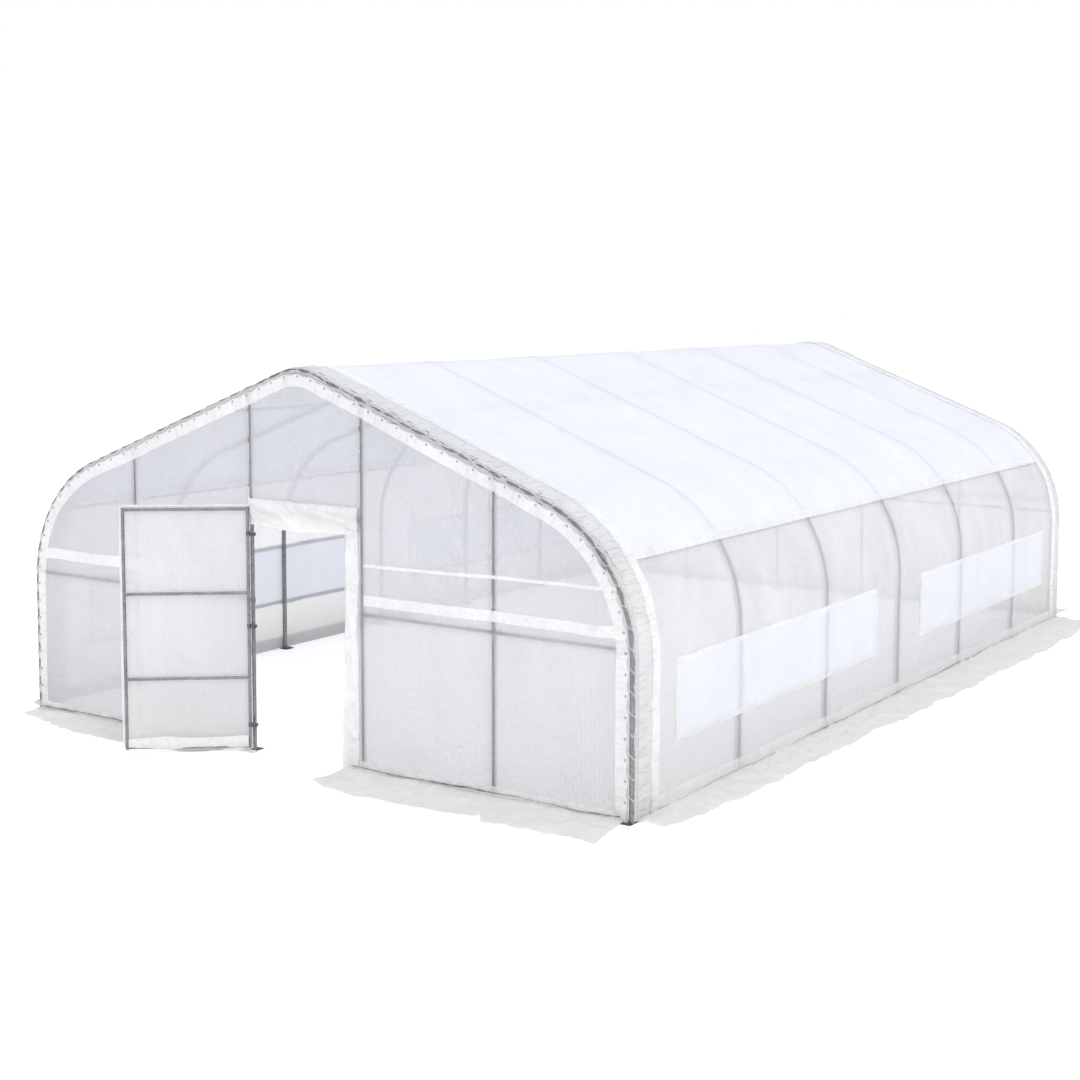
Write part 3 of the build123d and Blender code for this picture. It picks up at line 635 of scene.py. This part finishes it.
def hoop_wrap(name, outward, seed, from_cover, edge):
    """A hem drawn round an end hoop as far as its scalloped edge. edge gives, at places along the hoop, the angle
    it reaches at a turn of rope and between two turns; angles run from the front of the tube to its outer side."""
    trim = bpy.context.scene.polytunnel_trim
    gs, gw = pairs(lines(0.02, WHOLE_LONG - 0.02, 0.0115), np.linspace(0, 1, 7))
    slack = np.sin(np.pi * (gs / trim.tie - 0.25)) ** 2
    tied, loose = (np.interp(gs, [e[0] for e in edge], [e[k] for e in edge]) for k in (1, 2))
    reach = tied + (loose - tied) * slack + 0.30 * noise(gs * 9, 0.0, seed) + 0.18 * noise(gs * 31, 0.0, seed + 1)
    start = 1.6 if from_cover else -0.95
    reach = np.minimum(reach, 1.5) if from_cover else np.maximum(reach, -0.85)
    angle = start + (reach - start) * gw
    r = 0.0220 + 0.0045 * slack * creases(gs * 28, gw * 2, seed + 2, 2) * np.sin(np.pi * (0.15 + 0.85 * gw))
    back = COVER_Y - FRONT_Y if from_cover else 0.0
    r = r + (0.0 if from_cover else 0.008 * (1 - gw) ** 2)
    x, z, nx, nz = hoop_line(gs)
    y = outward * (-FRONT_Y + r * np.cos(angle) - back * (1 - gw) ** 4)
    points = np.stack([x + nx * r * np.sin(angle), y, z + nz * r * np.sin(angle)], -1)
    piece = dress(add_grid(name, points, np.stack([gs, gw * 0.03], -1), (0, outward, 0.2)), "laced_edge_film")


def crease_shadow_line(name, start, end, seed, thick, body="tunnel"):
    """A dark line of painted shadow in the crease where a wall meets its skirt, wandering and fading along a straight
    base line.
    """
    start, end = np.array(start), np.array(end)
    run = lines(0, float(np.linalg.norm(end - start)), 0.035)
    path = start + (end - start) * (run / run[-1])[:, None]
    path[:, 2] += 0.010 * noise(run * 2.4, 0.0, seed) + 0.004 * noise(run * 9, 0.0, seed + 1)
    radius = thick * (0.25 + 0.75 * (0.5 + 0.5 * noise(run * 1.7, 0.0, seed + 2)) ** 1.5)
    if body == "door":
        path = swung(path)
    line = tube_along(name, path, radius, 6, np.broadcast_to((0.0, 0.0, 1.0), path.shape))
    return dress(line, "crease_shadow_film", body=body)


# Skirts on the ground
def skirt(name, inner, outer, replaced, seed):
    """Film lying crumpled on the ground between a line along the wall and its ragged outer edge."""
    rows, step = 22, 0.03
    count = int(np.linalg.norm(np.diff(inner, axis=0), axis=1).sum() / step)

    def resample(line):
        line = np.array(line, float)
        run = np.concatenate([[0], np.cumsum(np.linalg.norm(np.diff(line, axis=0), axis=1))])
        at = np.linspace(0, run[-1], count)
        return np.stack([np.interp(at, run, line[:, 0]), np.interp(at, run, line[:, 1])], -1), at

    a, run = resample(inner)
    b, _ = resample(outer)
    w = np.linspace(0, 1, rows)[:, None]
    width = np.linalg.norm(b - a, axis=1)
    ragged = 0.024 * noise(run * 4, 0.0, seed) + 0.012 * noise(run * 14, 0.0, seed + 1)
    reach = w * (1 + (ragged - 0.020) / width.clip(0.05))
    x = a[:, 0] + (b[:, 0] - a[:, 0]) * reach
    y = a[:, 1] + (b[:, 1] - a[:, 1]) * reach
    long_folds = creases(run[None, :] * 6.0 + 0.0 * w, w * 1.3, seed + 3, 3)
    rise = 0.055 * (creases(x * 3.6, y * 3.6, seed + 2) - 0.35).clip(0) + 0.040 * (long_folds - 0.35).clip(0)
    foot = 0.030 * np.exp(-w * width / 0.05) * (0.6 + 0.4 * noise(run * 8, 0.0, seed + 4))
    z = 0.003 + rise * np.sin(np.pi * (0.10 + 0.78 * w)) ** 0.7 + foot
    uv = np.stack(np.broadcast_arrays(run[None, :], w * width[None, :]), -1)
    piece = add_grid(name, np.stack([x, y, z], -1), uv, (0, 0, 1))
    dress(piece, "loose_skirt_film", replaced)
    area = area_of(piece) / 1.03
    long, wide = max(float(np.ptp(x)), float(np.ptp(y))), float(width.max()) * 1.02
    wide = max(wide, area / long)


# Door
def swung(points):
    """Points drawn with the door shut, turned to where it stands open."""
    turn = np.array(Matrix.Translation(HINGE) @ Matrix.Rotation(-DOOR_OPEN, 4, "Z") @ Matrix.Translation(-HINGE))
    return points @ turn[:3, :3].T + turn[:3, 3]


def door_piece(name, x, y, z, uv, material, replaced=()):
    """A piece of the door, drawn shut and then swung open, with its faces looking out of the shut door."""
    outward = swung(np.array([[0.0, -1, 0], [0, 0, 0]]))
    piece = add_grid(name, swung(np.stack(np.broadcast_arrays(x, y, z), -1)), uv, outward[0] - outward[1])
    return dress(piece, material, replaced, "door")


class StageOperator(bpy.types.Operator):
    """Lay the floor, hang the lights and place the camera"""
    bl_idname = "polytunnel.stage"
    bl_label = "Stage"

    def execute(self, context):
        p = context.scene.polytunnel_stage
        bpy.ops.object.select_all(action="DESELECT")
        bpy.ops.mesh.primitive_plane_add(size=160, location=(0, 0, 0))
        floor = context.object
        floor.name = "floor"
        material, add = blank("matt_studio_floor")
        grain = add("TexNoise", {"Scale": 0.6, "Detail": 3.0})
        tone = add("ValToRGB", {"stops": ((0.3, tone_of(p.floor, 0.99)), (0.7, tone_of(p.floor, 1)))}, {0: grain})
        paint = {"Roughness": 0.9, "Emission Color": (1, 1, 1, 1), "Emission Strength": p.fill}
        paint = add("BsdfPrincipled", paint, {"Base Color": tone})
        add("OutputMaterial", {}, {"Surface": paint})
        floor.data.materials.append(material)

        world = bpy.data.worlds.new("white_surround")
        context.scene.world = world
        world.use_nodes = True
        world.node_tree.nodes.clear()
        add = partial(node, world.node_tree)
        ahead = add("TexCoord", {}, {}, "Generated")
        rise = add("SeparateXYZ", {}, {0: ahead}, 2)
        strength = add("MapRange", {"To Min": p.sky, "To Max": p.zenith}, {"Value": rise})
        lit = add("Background", {"Color": (1, 1, 1, 1)}, {"Strength": strength})
        seen = add("Background", {"Color": (1, 1, 1, 1), "Strength": 1.0})
        camera_ray = add("LightPath", {}, {}, "Is Camera Ray")
        both = add("MixShader", {}, {0: camera_ray, 1: lit, 2: seen})
        add("OutputWorld", {}, {"Surface": both})

        sun = bpy.data.lights.new("key", "SUN")
        sun.energy, sun.angle = p.key, math.radians(32)
        lamp = bpy.data.objects.new("key", sun)
        lamp.rotation_euler = (math.radians(18), math.radians(26), 0)
        context.scene.collection.objects.link(lamp)

        lens = bpy.data.cameras.new("camera")
        lens.sensor_width, lens.lens = SENSOR, FOCAL / PICTURE * SENSOR
        lens.shift_x, lens.shift_y = (PICTURE / 2 - CENTRE[0]) / PICTURE, (CENTRE[1] - PICTURE / 2) / PICTURE
        lens.clip_end = 300
        yaw, pitch, roll = (math.radians(a) for a in CAMERA_TURN)
        ahead = Vector((math.sin(yaw) * math.cos(pitch), math.cos(yaw) * math.cos(pitch), -math.sin(pitch)))
        right = Vector((math.cos(yaw), -math.sin(yaw), 0))
        up = right.cross(ahead)
        across = right * math.cos(roll) + up * math.sin(roll)
        above = up * math.cos(roll) - right * math.sin(roll)
        camera = bpy.data.objects.new("camera", lens)
        turn = Matrix((across, above, -ahead)).transposed().to_4x4()
        camera.matrix_world = Matrix.Translation(CAMERA_AT) @ turn
        context.scene.collection.objects.link(camera)
        context.scene.camera = camera
        context.scene.view_settings.view_transform = "Standard"
        return {"FINISHED"}


class SteelOperator(bpy.types.Operator):
    """Give the tubes, plates and hinges their zinc finish"""
    bl_idname = "polytunnel.steel"
    bl_label = "Steel frame"

    def execute(self, context):
        for names, material in ((TUBE_NODES, "galvanised_steel_tube"), (PLATE_NODES, "galvanised_steel_plate")):
            for name in names:
                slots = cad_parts[name].data.materials
                slots.clear()
                slots.append(finish(material))
        return {"FINISHED"}


class BoltsOperator(bpy.types.Operator):
    """Drive the ground anchors and fit the hinge bolts"""
    bl_idname = "polytunnel.bolts"
    bl_label = "Anchors and bolts"

    def hex_head(self, radius, height, shank):
        """A bolt that stands on the origin: washer, bevelled six-sided head and the end of its shank below."""
        bpy.ops.object.select_all(action="DESELECT")
        parts, thick = [], 0.0015
        for sides, wide, tall, middle in (
                (6, radius, height, thick + height / 2), (18, radius * 1.5, thick, thick / 2),
                (10, radius / 2, shank, -shank / 2)):
            bpy.ops.mesh.primitive_cylinder_add(vertices=sides, radius=wide, depth=tall, location=(0, 0, middle))
            parts.append(bpy.context.object)
        select_only(parts[0])
        bpy.ops.object.mode_set(mode="EDIT")
        bpy.ops.mesh.select_all(action="SELECT")
        bpy.ops.mesh.bevel(offset=radius * 0.12, segments=1)
        bpy.ops.object.mode_set(mode="OBJECT")
        select_only(*parts)
        bpy.ops.object.transform_apply(location=True, rotation=True, scale=True)
        bpy.ops.object.join()
        return bpy.context.object

    def execute(self, context):
        places = []
        for i in range(BAYS + 1):
            for x in (FOOT_X, -FOOT_X):
                for hole in (-HOLE_Y, HOLE_Y):
                    places.append(Matrix.Translation((x, FRONT_Y + i * BAY + hole, 0.006)))
        anchors = repeat(self.hex_head(0.0085, 0.007, 0.005), "ground_anchors", places)
        dress(anchors, "galvanised_steel_plate")
        sideways = Matrix.Rotation(math.pi / 2, 4, "Y")
        places = [Matrix.Translation((DOOR_POSTS[0] + 0.005, FRONT_Y + 0.027, z)) @ sideways for z in HINGE_Z]
        bolts = repeat(self.hex_head(0.0055, 0.0045, 0.014), "hinge_bolts", places)
        dress(bolts, "galvanised_steel_plate")
        return {"FINISHED"}


class CoverOperator(bpy.types.Operator):
    """Stretch the side and roof film over the hoops, with their seams and base hems"""
    bl_idname = "polytunnel.cover"
    bl_label = "Cover film"

    def execute(self, context):
        width = context.scene.polytunnel_trim.band
        up, ends, foot = (0, 0, 1), ["front_hoop", "back_hoop"], 0.004
        cuts = [w for start in WINDOW_STARTS for w in (start, start + WINDOW_LONG)]
        y = lines(COVER_Y, -COVER_Y, 0.026, cuts)
        roof = cover_piece(
            "roof_film", lines(SEAM, WHOLE_LONG - SEAM, 0.034), lines(COVER_Y, -COVER_Y, 0.032), ROOF_LIFT,
            "coated_roof_film", up, ["right_roof_cover", "left_roof_cover", "ridge_cover"])
        for far, side, outward in SIDES:
            s = from_foot(lines(foot, SEAM + 0.02, 0.024, (WINDOW_LOW, WINDOW_LOW + WINDOW_HIGH)), far)
            wall = cover_piece(
                side + "_side_film", s, y, 0.0, "coated_wall_film", outward, [side + "_side_cover"], outside_windows)
            hem = cover_piece(
                side + "_base_hem", from_foot(lines(foot, 0.125, 0.02), far), lines(COVER_Y, -COVER_Y, 0.04),
                BASE_LIFT, "doubled_hem_film", outward, crush=0.007, wave=0.003)
            cover_piece(
                side + "_eave_tape", from_foot(lines(SEAM - 0.012, SEAM + 0.060, 0.012), far),
                lines(COVER_Y, -COVER_Y, 0.03), TAPE_LIFT, "doubled_hem_film", up, crush=0.002)
        for end, sign in (("front", 1), ("back", -1)):
            s, ys = lines(foot, WHOLE_LONG - foot, 0.03), sign * (FRONT_Y + 0.20 + lines(0, width, width / 5))
            cover_piece(
                end + "_cover_hem", s, ys, HEM_LIFT, "doubled_hem_film", up,
                crush=0.009, seed=33, across=True, wave=0.009)
            s, ys = lines(foot, WHOLE_LONG - foot, 0.016), sign * (COVER_Y + lines(0.001, 0.172, 0.0171))
            cover_piece(
                end + "_cover_laced_edge", s, ys, EDGE_LIFT, "laced_edge_film", up,
                crush=0.004, seed=35, across=True)
        return {"FINISHED"}


class WindowsOperator(bpy.types.Operator):
    """Sew the mesh windows and their hems into the side film"""
    bl_idname = "polytunnel.windows"
    bl_label = "Windows"

    def execute(self, context):
        lap = 0.04
        low, high = WINDOW_LOW, WINDOW_LOW + WINDOW_HIGH
        for far, side, outward in SIDES:
            s = from_foot(lines(low - lap, high + lap, 0.026, (low, high)), far)
            for index, start in enumerate(WINDOW_STARTS):
                y = lines(start - lap, start + WINDOW_LONG + lap, 0.03, (start, start + WINDOW_LONG))
                name = "%s_window_%d" % (side, index + 1)
                creased = {"crush": 0.006, "seed": 41 + index, "wave": 0.006}
                pane = cover_piece(
                    name, s, y, PANE_LIFT, "knitted_window_mesh", outward, [side + "_windows"], **creased)
                rim = cover_piece(
                    name + "_hem", s, y, RIM_LIFT, "doubled_hem_film", outward, ["window_hems"],
                    outside_windows, **creased)
        return {"FINISHED"}


class WallsOperator(bpy.types.Operator):
    """Hang the end walls with their hems, bands and the flaps beside the doorway"""
    bl_idname = "polytunnel.walls"
    bl_label = "End walls"

    def execute(self, context):
        front = end_wall("front_film", -1, ["front_wall_left", "front_wall_right", "front_gable"])
        back = end_wall("back_film", 1, ["back_wall"])
        front_hem, back_hem = edge_hem("front_edge_hem", -1), edge_hem("back_edge_hem", 1)
        end, left, right = 2.93, -0.56, 0.66
        band_lift, seam_lift, base_lift = 0.0035, 0.0025, 0.0030

        def slant(rise, x0):
            return lambda x, z: (x, z + (x - x0) * rise + 0.006 * noise(x * 4, 0.0, 65))

        def hang(x, z):
            """The flap beside the doorway leans in towards its top, and its free edge wanders most."""
            share = (x - 0.462) / 0.15
            lean = 0.045 * np.clip(z / 1.8, 0, 1) * (1 - share) + 0.012 * noise(z * 3.1, 0.0, 67) * (1 - share)
            return x + lean + 0.016 * noise(z * 2.6, share * 1.5, 66), z

        trims = [front_hem]
        for name, x, z, lift, crush, shape in (
                ("right_band", (right, end, 0.02), (1.290, 1.372, 0.012), band_lift, 0.012, slant(0.002, right)),
                ("left_band", (-end, left, 0.02), (1.350, 1.440, 0.012), band_lift, 0.012, slant(0.0, -end)),
                ("right_seam", (right, end, 0.03), (1.584, 1.610, 0.009), seam_lift, 0.003, slant(0.017, right)),
                ("base_hem_right", (DOOR_LANDS[0], end, 0.025), (0.004, 0.085, 0.012), base_lift, 0.014, None),
                ("base_hem_left", (-end, left, 0.025), (0.004, 0.085, 0.012), base_lift, 0.014, None)):
            trims.append(wall_piece("front_" + name, lines(*x), lines(*z), lift, -1, crush, shape))
        x, z = lines(0.462, 0.612, 0.010), lines(0.012, 1.86, 0.022)
        trims.append(wall_piece("doorway_edge_flap", x, z, 0.006, -1, 0.030, hang))
        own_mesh(trims[-1])

        across = lines(-end, end, 0.03)
        trims = [back_hem, wall_piece("back_band", across, lines(1.300, 1.382, 0.014), band_lift, 1, 0.012)]
        trims.append(wall_piece("back_base_hem", across, lines(0.004, 0.085, 0.014), base_lift, 1, 0.014))
        return {"FINISHED"}


class LacingOperator(bpy.types.Operator):
    """Lace the hems to the end hoops with one rope each, through eyelets"""
    bl_idname = "polytunnel.lacing"
    bl_label = "Lacing"

    def execute(self, context):
        tie = context.scene.polytunnel_trim.tie
        leg, top, ridge, end = EAVE_Z, EAVE_Z + ARC_LONG, HALF_LONG, WHOLE_LONG
        wall_reach = (
            (0, -0.9, -1.1), (leg, -0.6, -1.0), (top, 0.15, -0.25), (ridge - 0.3, 0.25, -0.05), (ridge, 0.2, -0.1),
            (ridge + 0.3, 0.4, 0.1), (end - top - 0.8, 0.9, 0.45), (end - top, 0.9, 0.0),
            (end - leg - 0.4, 0.8, -1.3), (end, 0.9, -1.5))
        cover_reach = (
            (0, 1.35, 1.5), (0.8 * leg, 1.2, 1.5), (leg, 0.85, 1.2), (top, 0.5, 0.8), (ridge - 0.3, 0.6, 0.85),
            (ridge, 0.7, 0.95), (end, 1.2, 1.4))
        upright = Matrix.Rotation(math.pi / 2, 4, "X")
        for name, outward, seed in (("front", -1, 71), ("back", 1, 91)):
            lacing(name + "_lacing", outward)
            hoop_wrap(name + "_hem_wrap", outward, seed, False, wall_reach)
            hoop_wrap(name + "_cover_wrap", outward, seed + 3, True, cover_reach)
            bpy.ops.object.select_all(action="DESELECT")
            ring = {"major_radius": 0.0065, "minor_radius": 0.0018, "major_segments": 12, "minor_segments": 5}
            bpy.ops.mesh.primitive_torus_add(**ring)
            places = []
            for k in range(1, int(WHOLE_LONG / tie)):
                x, z, nx, nz = (float(v) for v in hoop_line(k * tie))
                px, pz = x - nx * 0.040, z - nz * 0.040
                lift = 0.0085 + float(wall_bulge(np.array(px), np.array(pz), outward))
                places.append(Matrix.Translation((px, outward * (-WALL_Y + lift), pz)) @ upright)
            rings = repeat(context.object, name + "_eyelets", places)
            bpy.ops.object.shade_smooth()
            dress(rings, "galvanised_steel_tube")
        return {"FINISHED"}


class SkirtsOperator(bpy.types.Operator):
    """Lay the loose skirts of film on the ground around the walls"""
    bl_idname = "polytunnel.skirts"
    bl_label = "Ground skirts"

    def execute(self, context):
        base = HALF + 0.026
        for side, sign, seed in (("right", 1, 101), ("left", -1, 121)):
            inner = [(sign * base, COVER_Y + y) for y, _ in SIDE_SKIRT]
            outer = [(sign * x, COVER_Y + y) for y, x in SIDE_SKIRT]
            skirt(side + "_ground_skirt", inner, outer, [side + "_skirt"], seed)
        y, out, corner = FRONT_Y - 0.022, FRONT_Y - 0.54, 3.0
        right = [(0.48, out + 0.12), (0.70, out), (1.45, out - 0.02), (2.03, out + 0.02), (2.06, out + 0.10)]
        right += [(2.14, out - 0.03), (3.08, out + 0.02)]
        skirt("front_right_ground_skirt", [(DOORWAY_RIGHT, y), (corner, y)], right, ["front_skirts"], 141)
        left = [(-3.07, out + 0.33), (-2.30, out + 0.11), (-1.69, out + 0.08), (-0.90, out + 0.17)]
        skirt("front_left_ground_skirt", [(-corner, y), (DOORWAY_LEFT, y)], left, ["front_skirts"], 161)

        # Painted shadow in the creases where the walls meet their skirts: each line's name, ends, seed and thickness
        at, reach, side = FRONT_Y - 0.046, 2.98, base + 0.008
        start, stop = COVER_Y + 0.15, -COVER_Y - 0.05
        for line in (
                ("front_right_crease_shadow", (DOOR_LANDS[0], at, 0.040), (reach, at, 0.040), 191, 0.0078),
                ("front_left_crease_shadow", (-reach, at, 0.040), (-0.56, at, 0.040), 193, 0.0065),
                ("back_crease_shadow", (-reach, -at, 0.038), (reach, -at, 0.038), 195, 0.0060),
                ("right_crease_shadow", (side, start, 0.036), (side, stop, 0.036), 197, 0.0030),
                ("left_crease_shadow", (-side, start, 0.036), (-side, stop, 0.036), 197, 0.0030)):
            crease_shadow_line(*line)

        run, away = np.linspace(-0.56, -0.405, 12), np.linspace(FRONT_Y - 0.135, FRONT_Y - 0.060, 8)
        tip_x, tip_y = pairs(run, away)
        tip_z = 0.008 + 0.014 * creases(tip_x * 14, tip_y * 14, 199, 2)
        tip_y = tip_y + 0.02 * noise(tip_x * 12, 0.0, 200)
        tip = add_grid("skirt_tip", np.stack([tip_x, tip_y, tip_z], -1), np.stack([tip_x, tip_y], -1), (0, 0, 1))
        dress(tip, "loose_skirt_film")
        rear = [(3.07, 5.125), (1.2, 5.10), (0, 5.118), (-1.6, 5.10), (-3.07, 5.125)]
        skirt("back_ground_skirt", [(corner, -y), (-corner, -y)], rear, ["back_skirt"], 181)
        return {"FINISHED"}


class DoorOperator(bpy.types.Operator):
    """Cover the door frame, fold its hems, and hang the flap over the doorway"""
    bl_idname = "polytunnel.door"
    bl_label = "Door and flap"

    def execute(self, context):
        self.door(DOOR_NEAR - 0.0125, DOOR_FAR + 0.024)
        self.flap(DOOR_POSTS[0] + 0.017, DOOR_POSTS[1] - 0.017)
        return {"FINISHED"}

    def door(self, x0, x1):
        """The film on the door's frame from x0 to x1, with its rolled bottom fold and its hems."""
        gx, gz = pairs(lines(x0, x1, 0.013), lines(0.062, 1.974, 0.016, (0.60, 1.28, 1.95)))
        rails = np.min([np.abs(gz - z) for z in DOOR_RAILS], axis=0)
        edge = np.minimum(np.abs(gx - DOOR_NEAR), np.abs(gx - DOOR_FAR))
        free = np.clip((np.minimum(edge, rails) - 0.012) / 0.16, 0, 1)
        low = 1 / (1 + np.exp((gz - 0.52) / 0.04))
        sway = 1 + noise(gx * 5 + gz, gz * 1.1, 201)
        drape = 0.008 * sway * (0.4 + 1.3 * low) + 0.009 * creases(gx * 4, gz * 3, 202) * (0.5 + 1.0 * low)
        hump = np.sin(np.pi * np.clip((gz - 0.06) / 0.50, 0, 1)) ** 2
        slump = 0.042 * low * hump * np.sin(np.pi * (gx - x0) / (x1 - x0))
        y = HINGE.y - 0.0165 - (drape + slump) * free
        piece = door_piece("door_film", gx, y, gz, np.stack([gx, gz], -1), "coated_door_film", ["door_cover"])

        near, far, turn = DOOR_NEAR + 0.0135, DOOR_FAR - 0.0135, np.linspace(0, 2 * math.pi, 29)
        gx, gt = pairs(lines(near, far, 0.010), turn)
        r = 0.0150 + 0.013 * creases(gx * 9, np.sin(gt) * 1.5, 211, 3)
        r = np.minimum(r, 0.0145 + 0.3 * (0.450 - gx).clip(0))
        tall = 0.045 * (1 + 0.25 * noise(gx * 5, 0.0, 212)) * np.sin(gt)
        y, z = HINGE.y - r * np.cos(gt), 0.083 + tall + 0.2 * (r - 0.015) * np.sin(gt)
        uv = np.stack([gx, gt * 0.02], -1)
        fold = door_piece("door_bottom_fold", gx, y, z, uv, "folded_flap_film", ["door_bottom_hem"])
        merge_seam(fold)

        # Painted shadow in the crease along the door's bottom fold
        at = HINGE.y - 0.020
        crease_shadow_line("door_crease_shadow", (DOOR_NEAR, at, 0.036), (DOOR_FAR, at, 0.036), 213, 0.0040, "door")

        gx, gt = pairs(lines(DOOR_NEAR - 0.012, DOOR_FAR + 0.012, 0.012), np.linspace(0, 1, 10))
        z = 1.925 + 0.058 * gt + 0.003 * noise(gx * 6, 0.0, 215)
        y = HINGE.y - 0.0185 - 0.004 * creases(gx * 9, gt * 2, 216, 3)
        top = door_piece("door_top_hem", gx, y, z, np.stack([gx, gt * 0.058], -1), "doubled_hem_film")

        gx, gz = pairs(lines(far + 0.027, DOOR_FAR + 0.030, 0.0055), lines(0.05, 1.974, 0.02))
        y = HINGE.y - 0.004 - 0.012 * creases(gz * 7, gx * 30, 217, 3)
        x, uv = gx + 0.003 * noise(gz * 5, 0.0, 218), np.stack([gx, gz], -1)
        selvage = door_piece("door_side_hem", x, y, gz, uv, "doubled_hem_film")

    def flap(self, left, right):
        """The loose flap over the doorway, in two layers that meet over the header, and cloth round the left post."""
        line = [(-0.0170, 1.822), (-0.0175, 1.93), (-0.017, 2.00), (-0.012, 2.034), (0, 2.040), (0.012, 2.034)]
        line += [(0.0165, 2.0), (0.0165, 1.95), (0.0165, 1.84)]
        run = np.concatenate([[0], np.cumsum([math.dist(a, b) for a, b in zip(line, line[1:])])])
        for name, low, high, face in (("doorway_flap", 0, run[4], -1), ("doorway_flap_back", run[4], run[-1], 1)):
            gx, gt = pairs(lines(left, right, 0.012), np.linspace(low, high, 21))
            y, z = (np.interp(gt, run, [q[k] for q in line]) for k in (0, 1))
            crush = 0.044 * creases(gx * 3.2 + gt * 2.0, gt * 9, 221)
            y = y + np.where(gt < run[3], -crush, 0.3 * crush * (gt > run[6]))
            z = z - 0.022 * (noise(gx * 4, 0.0, 223) + 0.2) * (gt < run[1] * 0.9)
            flap = add_grid(name, np.stack([gx, FRONT_Y + y, z], -1), np.stack([gx, gt], -1), (0, face, 0))
            dress(flap, "folded_flap_film", ["valance"])
            if face < 0:
                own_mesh(flap)

        gz, gt = pairs(lines(1.822, 2.034, 0.010), np.linspace(0, 2 * math.pi, 25))
        r = 0.0175 + 0.006 * creases(gz * 22, np.cos(gt), 231, 3)
        front = np.where(np.cos(gt) > 0.2, 1.0, 0.93)
        points = np.stack([DOOR_POSTS[0] + r * np.sin(gt), FRONT_Y - r * np.cos(gt) * front, gz], -1)
        wrap = add_grid("post_wrap", points, np.stack([gt * 0.02, gz], -1), None)
        merge_seam(dress(wrap, "doubled_hem_film"))


class PolytunnelPanel(bpy.types.Panel):
    """Build the polytunnel's cover step by step"""
    bl_idname = "VIEW3D_PT_polytunnel"
    bl_label = "Polytunnel"
    bl_space_type = "VIEW_3D"
    bl_region_type = "UI"
    bl_category = "Polytunnel"

    def draw(self, context):
        scene = context.scene
        for group in (scene.polytunnel_film, scene.polytunnel_trim, scene.polytunnel_stage):
            for key in group.bl_rna.properties.keys():
                if key not in ("rna_type", "name"):
                    self.layout.prop(group, key)
        for operator in OPERATORS:
            self.layout.operator(operator.bl_idname)


OPERATORS = (
    StageOperator, SteelOperator, BoltsOperator, CoverOperator, WindowsOperator, WallsOperator, LacingOperator,
    SkirtsOperator, DoorOperator)
CLASSES = (FilmSettings, TrimSettings, StageSettings) + OPERATORS + (PolytunnelPanel,)


def register():
    for cls in CLASSES:
        bpy.utils.register_class(cls)
    bpy.types.Scene.polytunnel_film = PointerProperty(type=FilmSettings)
    bpy.types.Scene.polytunnel_trim = PointerProperty(type=TrimSettings)
    bpy.types.Scene.polytunnel_stage = PointerProperty(type=StageSettings)


def unregister():
    del bpy.types.Scene.polytunnel_stage
    del bpy.types.Scene.polytunnel_trim
    del bpy.types.Scene.polytunnel_film
    for cls in reversed(CLASSES):
        bpy.utils.unregister_class(cls)


def main():
    register()
    bpy.ops.polytunnel.stage()
    bpy.ops.polytunnel.steel()
    bpy.ops.polytunnel.bolts()
    bpy.ops.polytunnel.cover()
    bpy.ops.polytunnel.windows()
    bpy.ops.polytunnel.walls()
    bpy.ops.polytunnel.lacing()
    bpy.ops.polytunnel.skirts()
    bpy.ops.polytunnel.door()


if __name__ == "__main__":
    main()
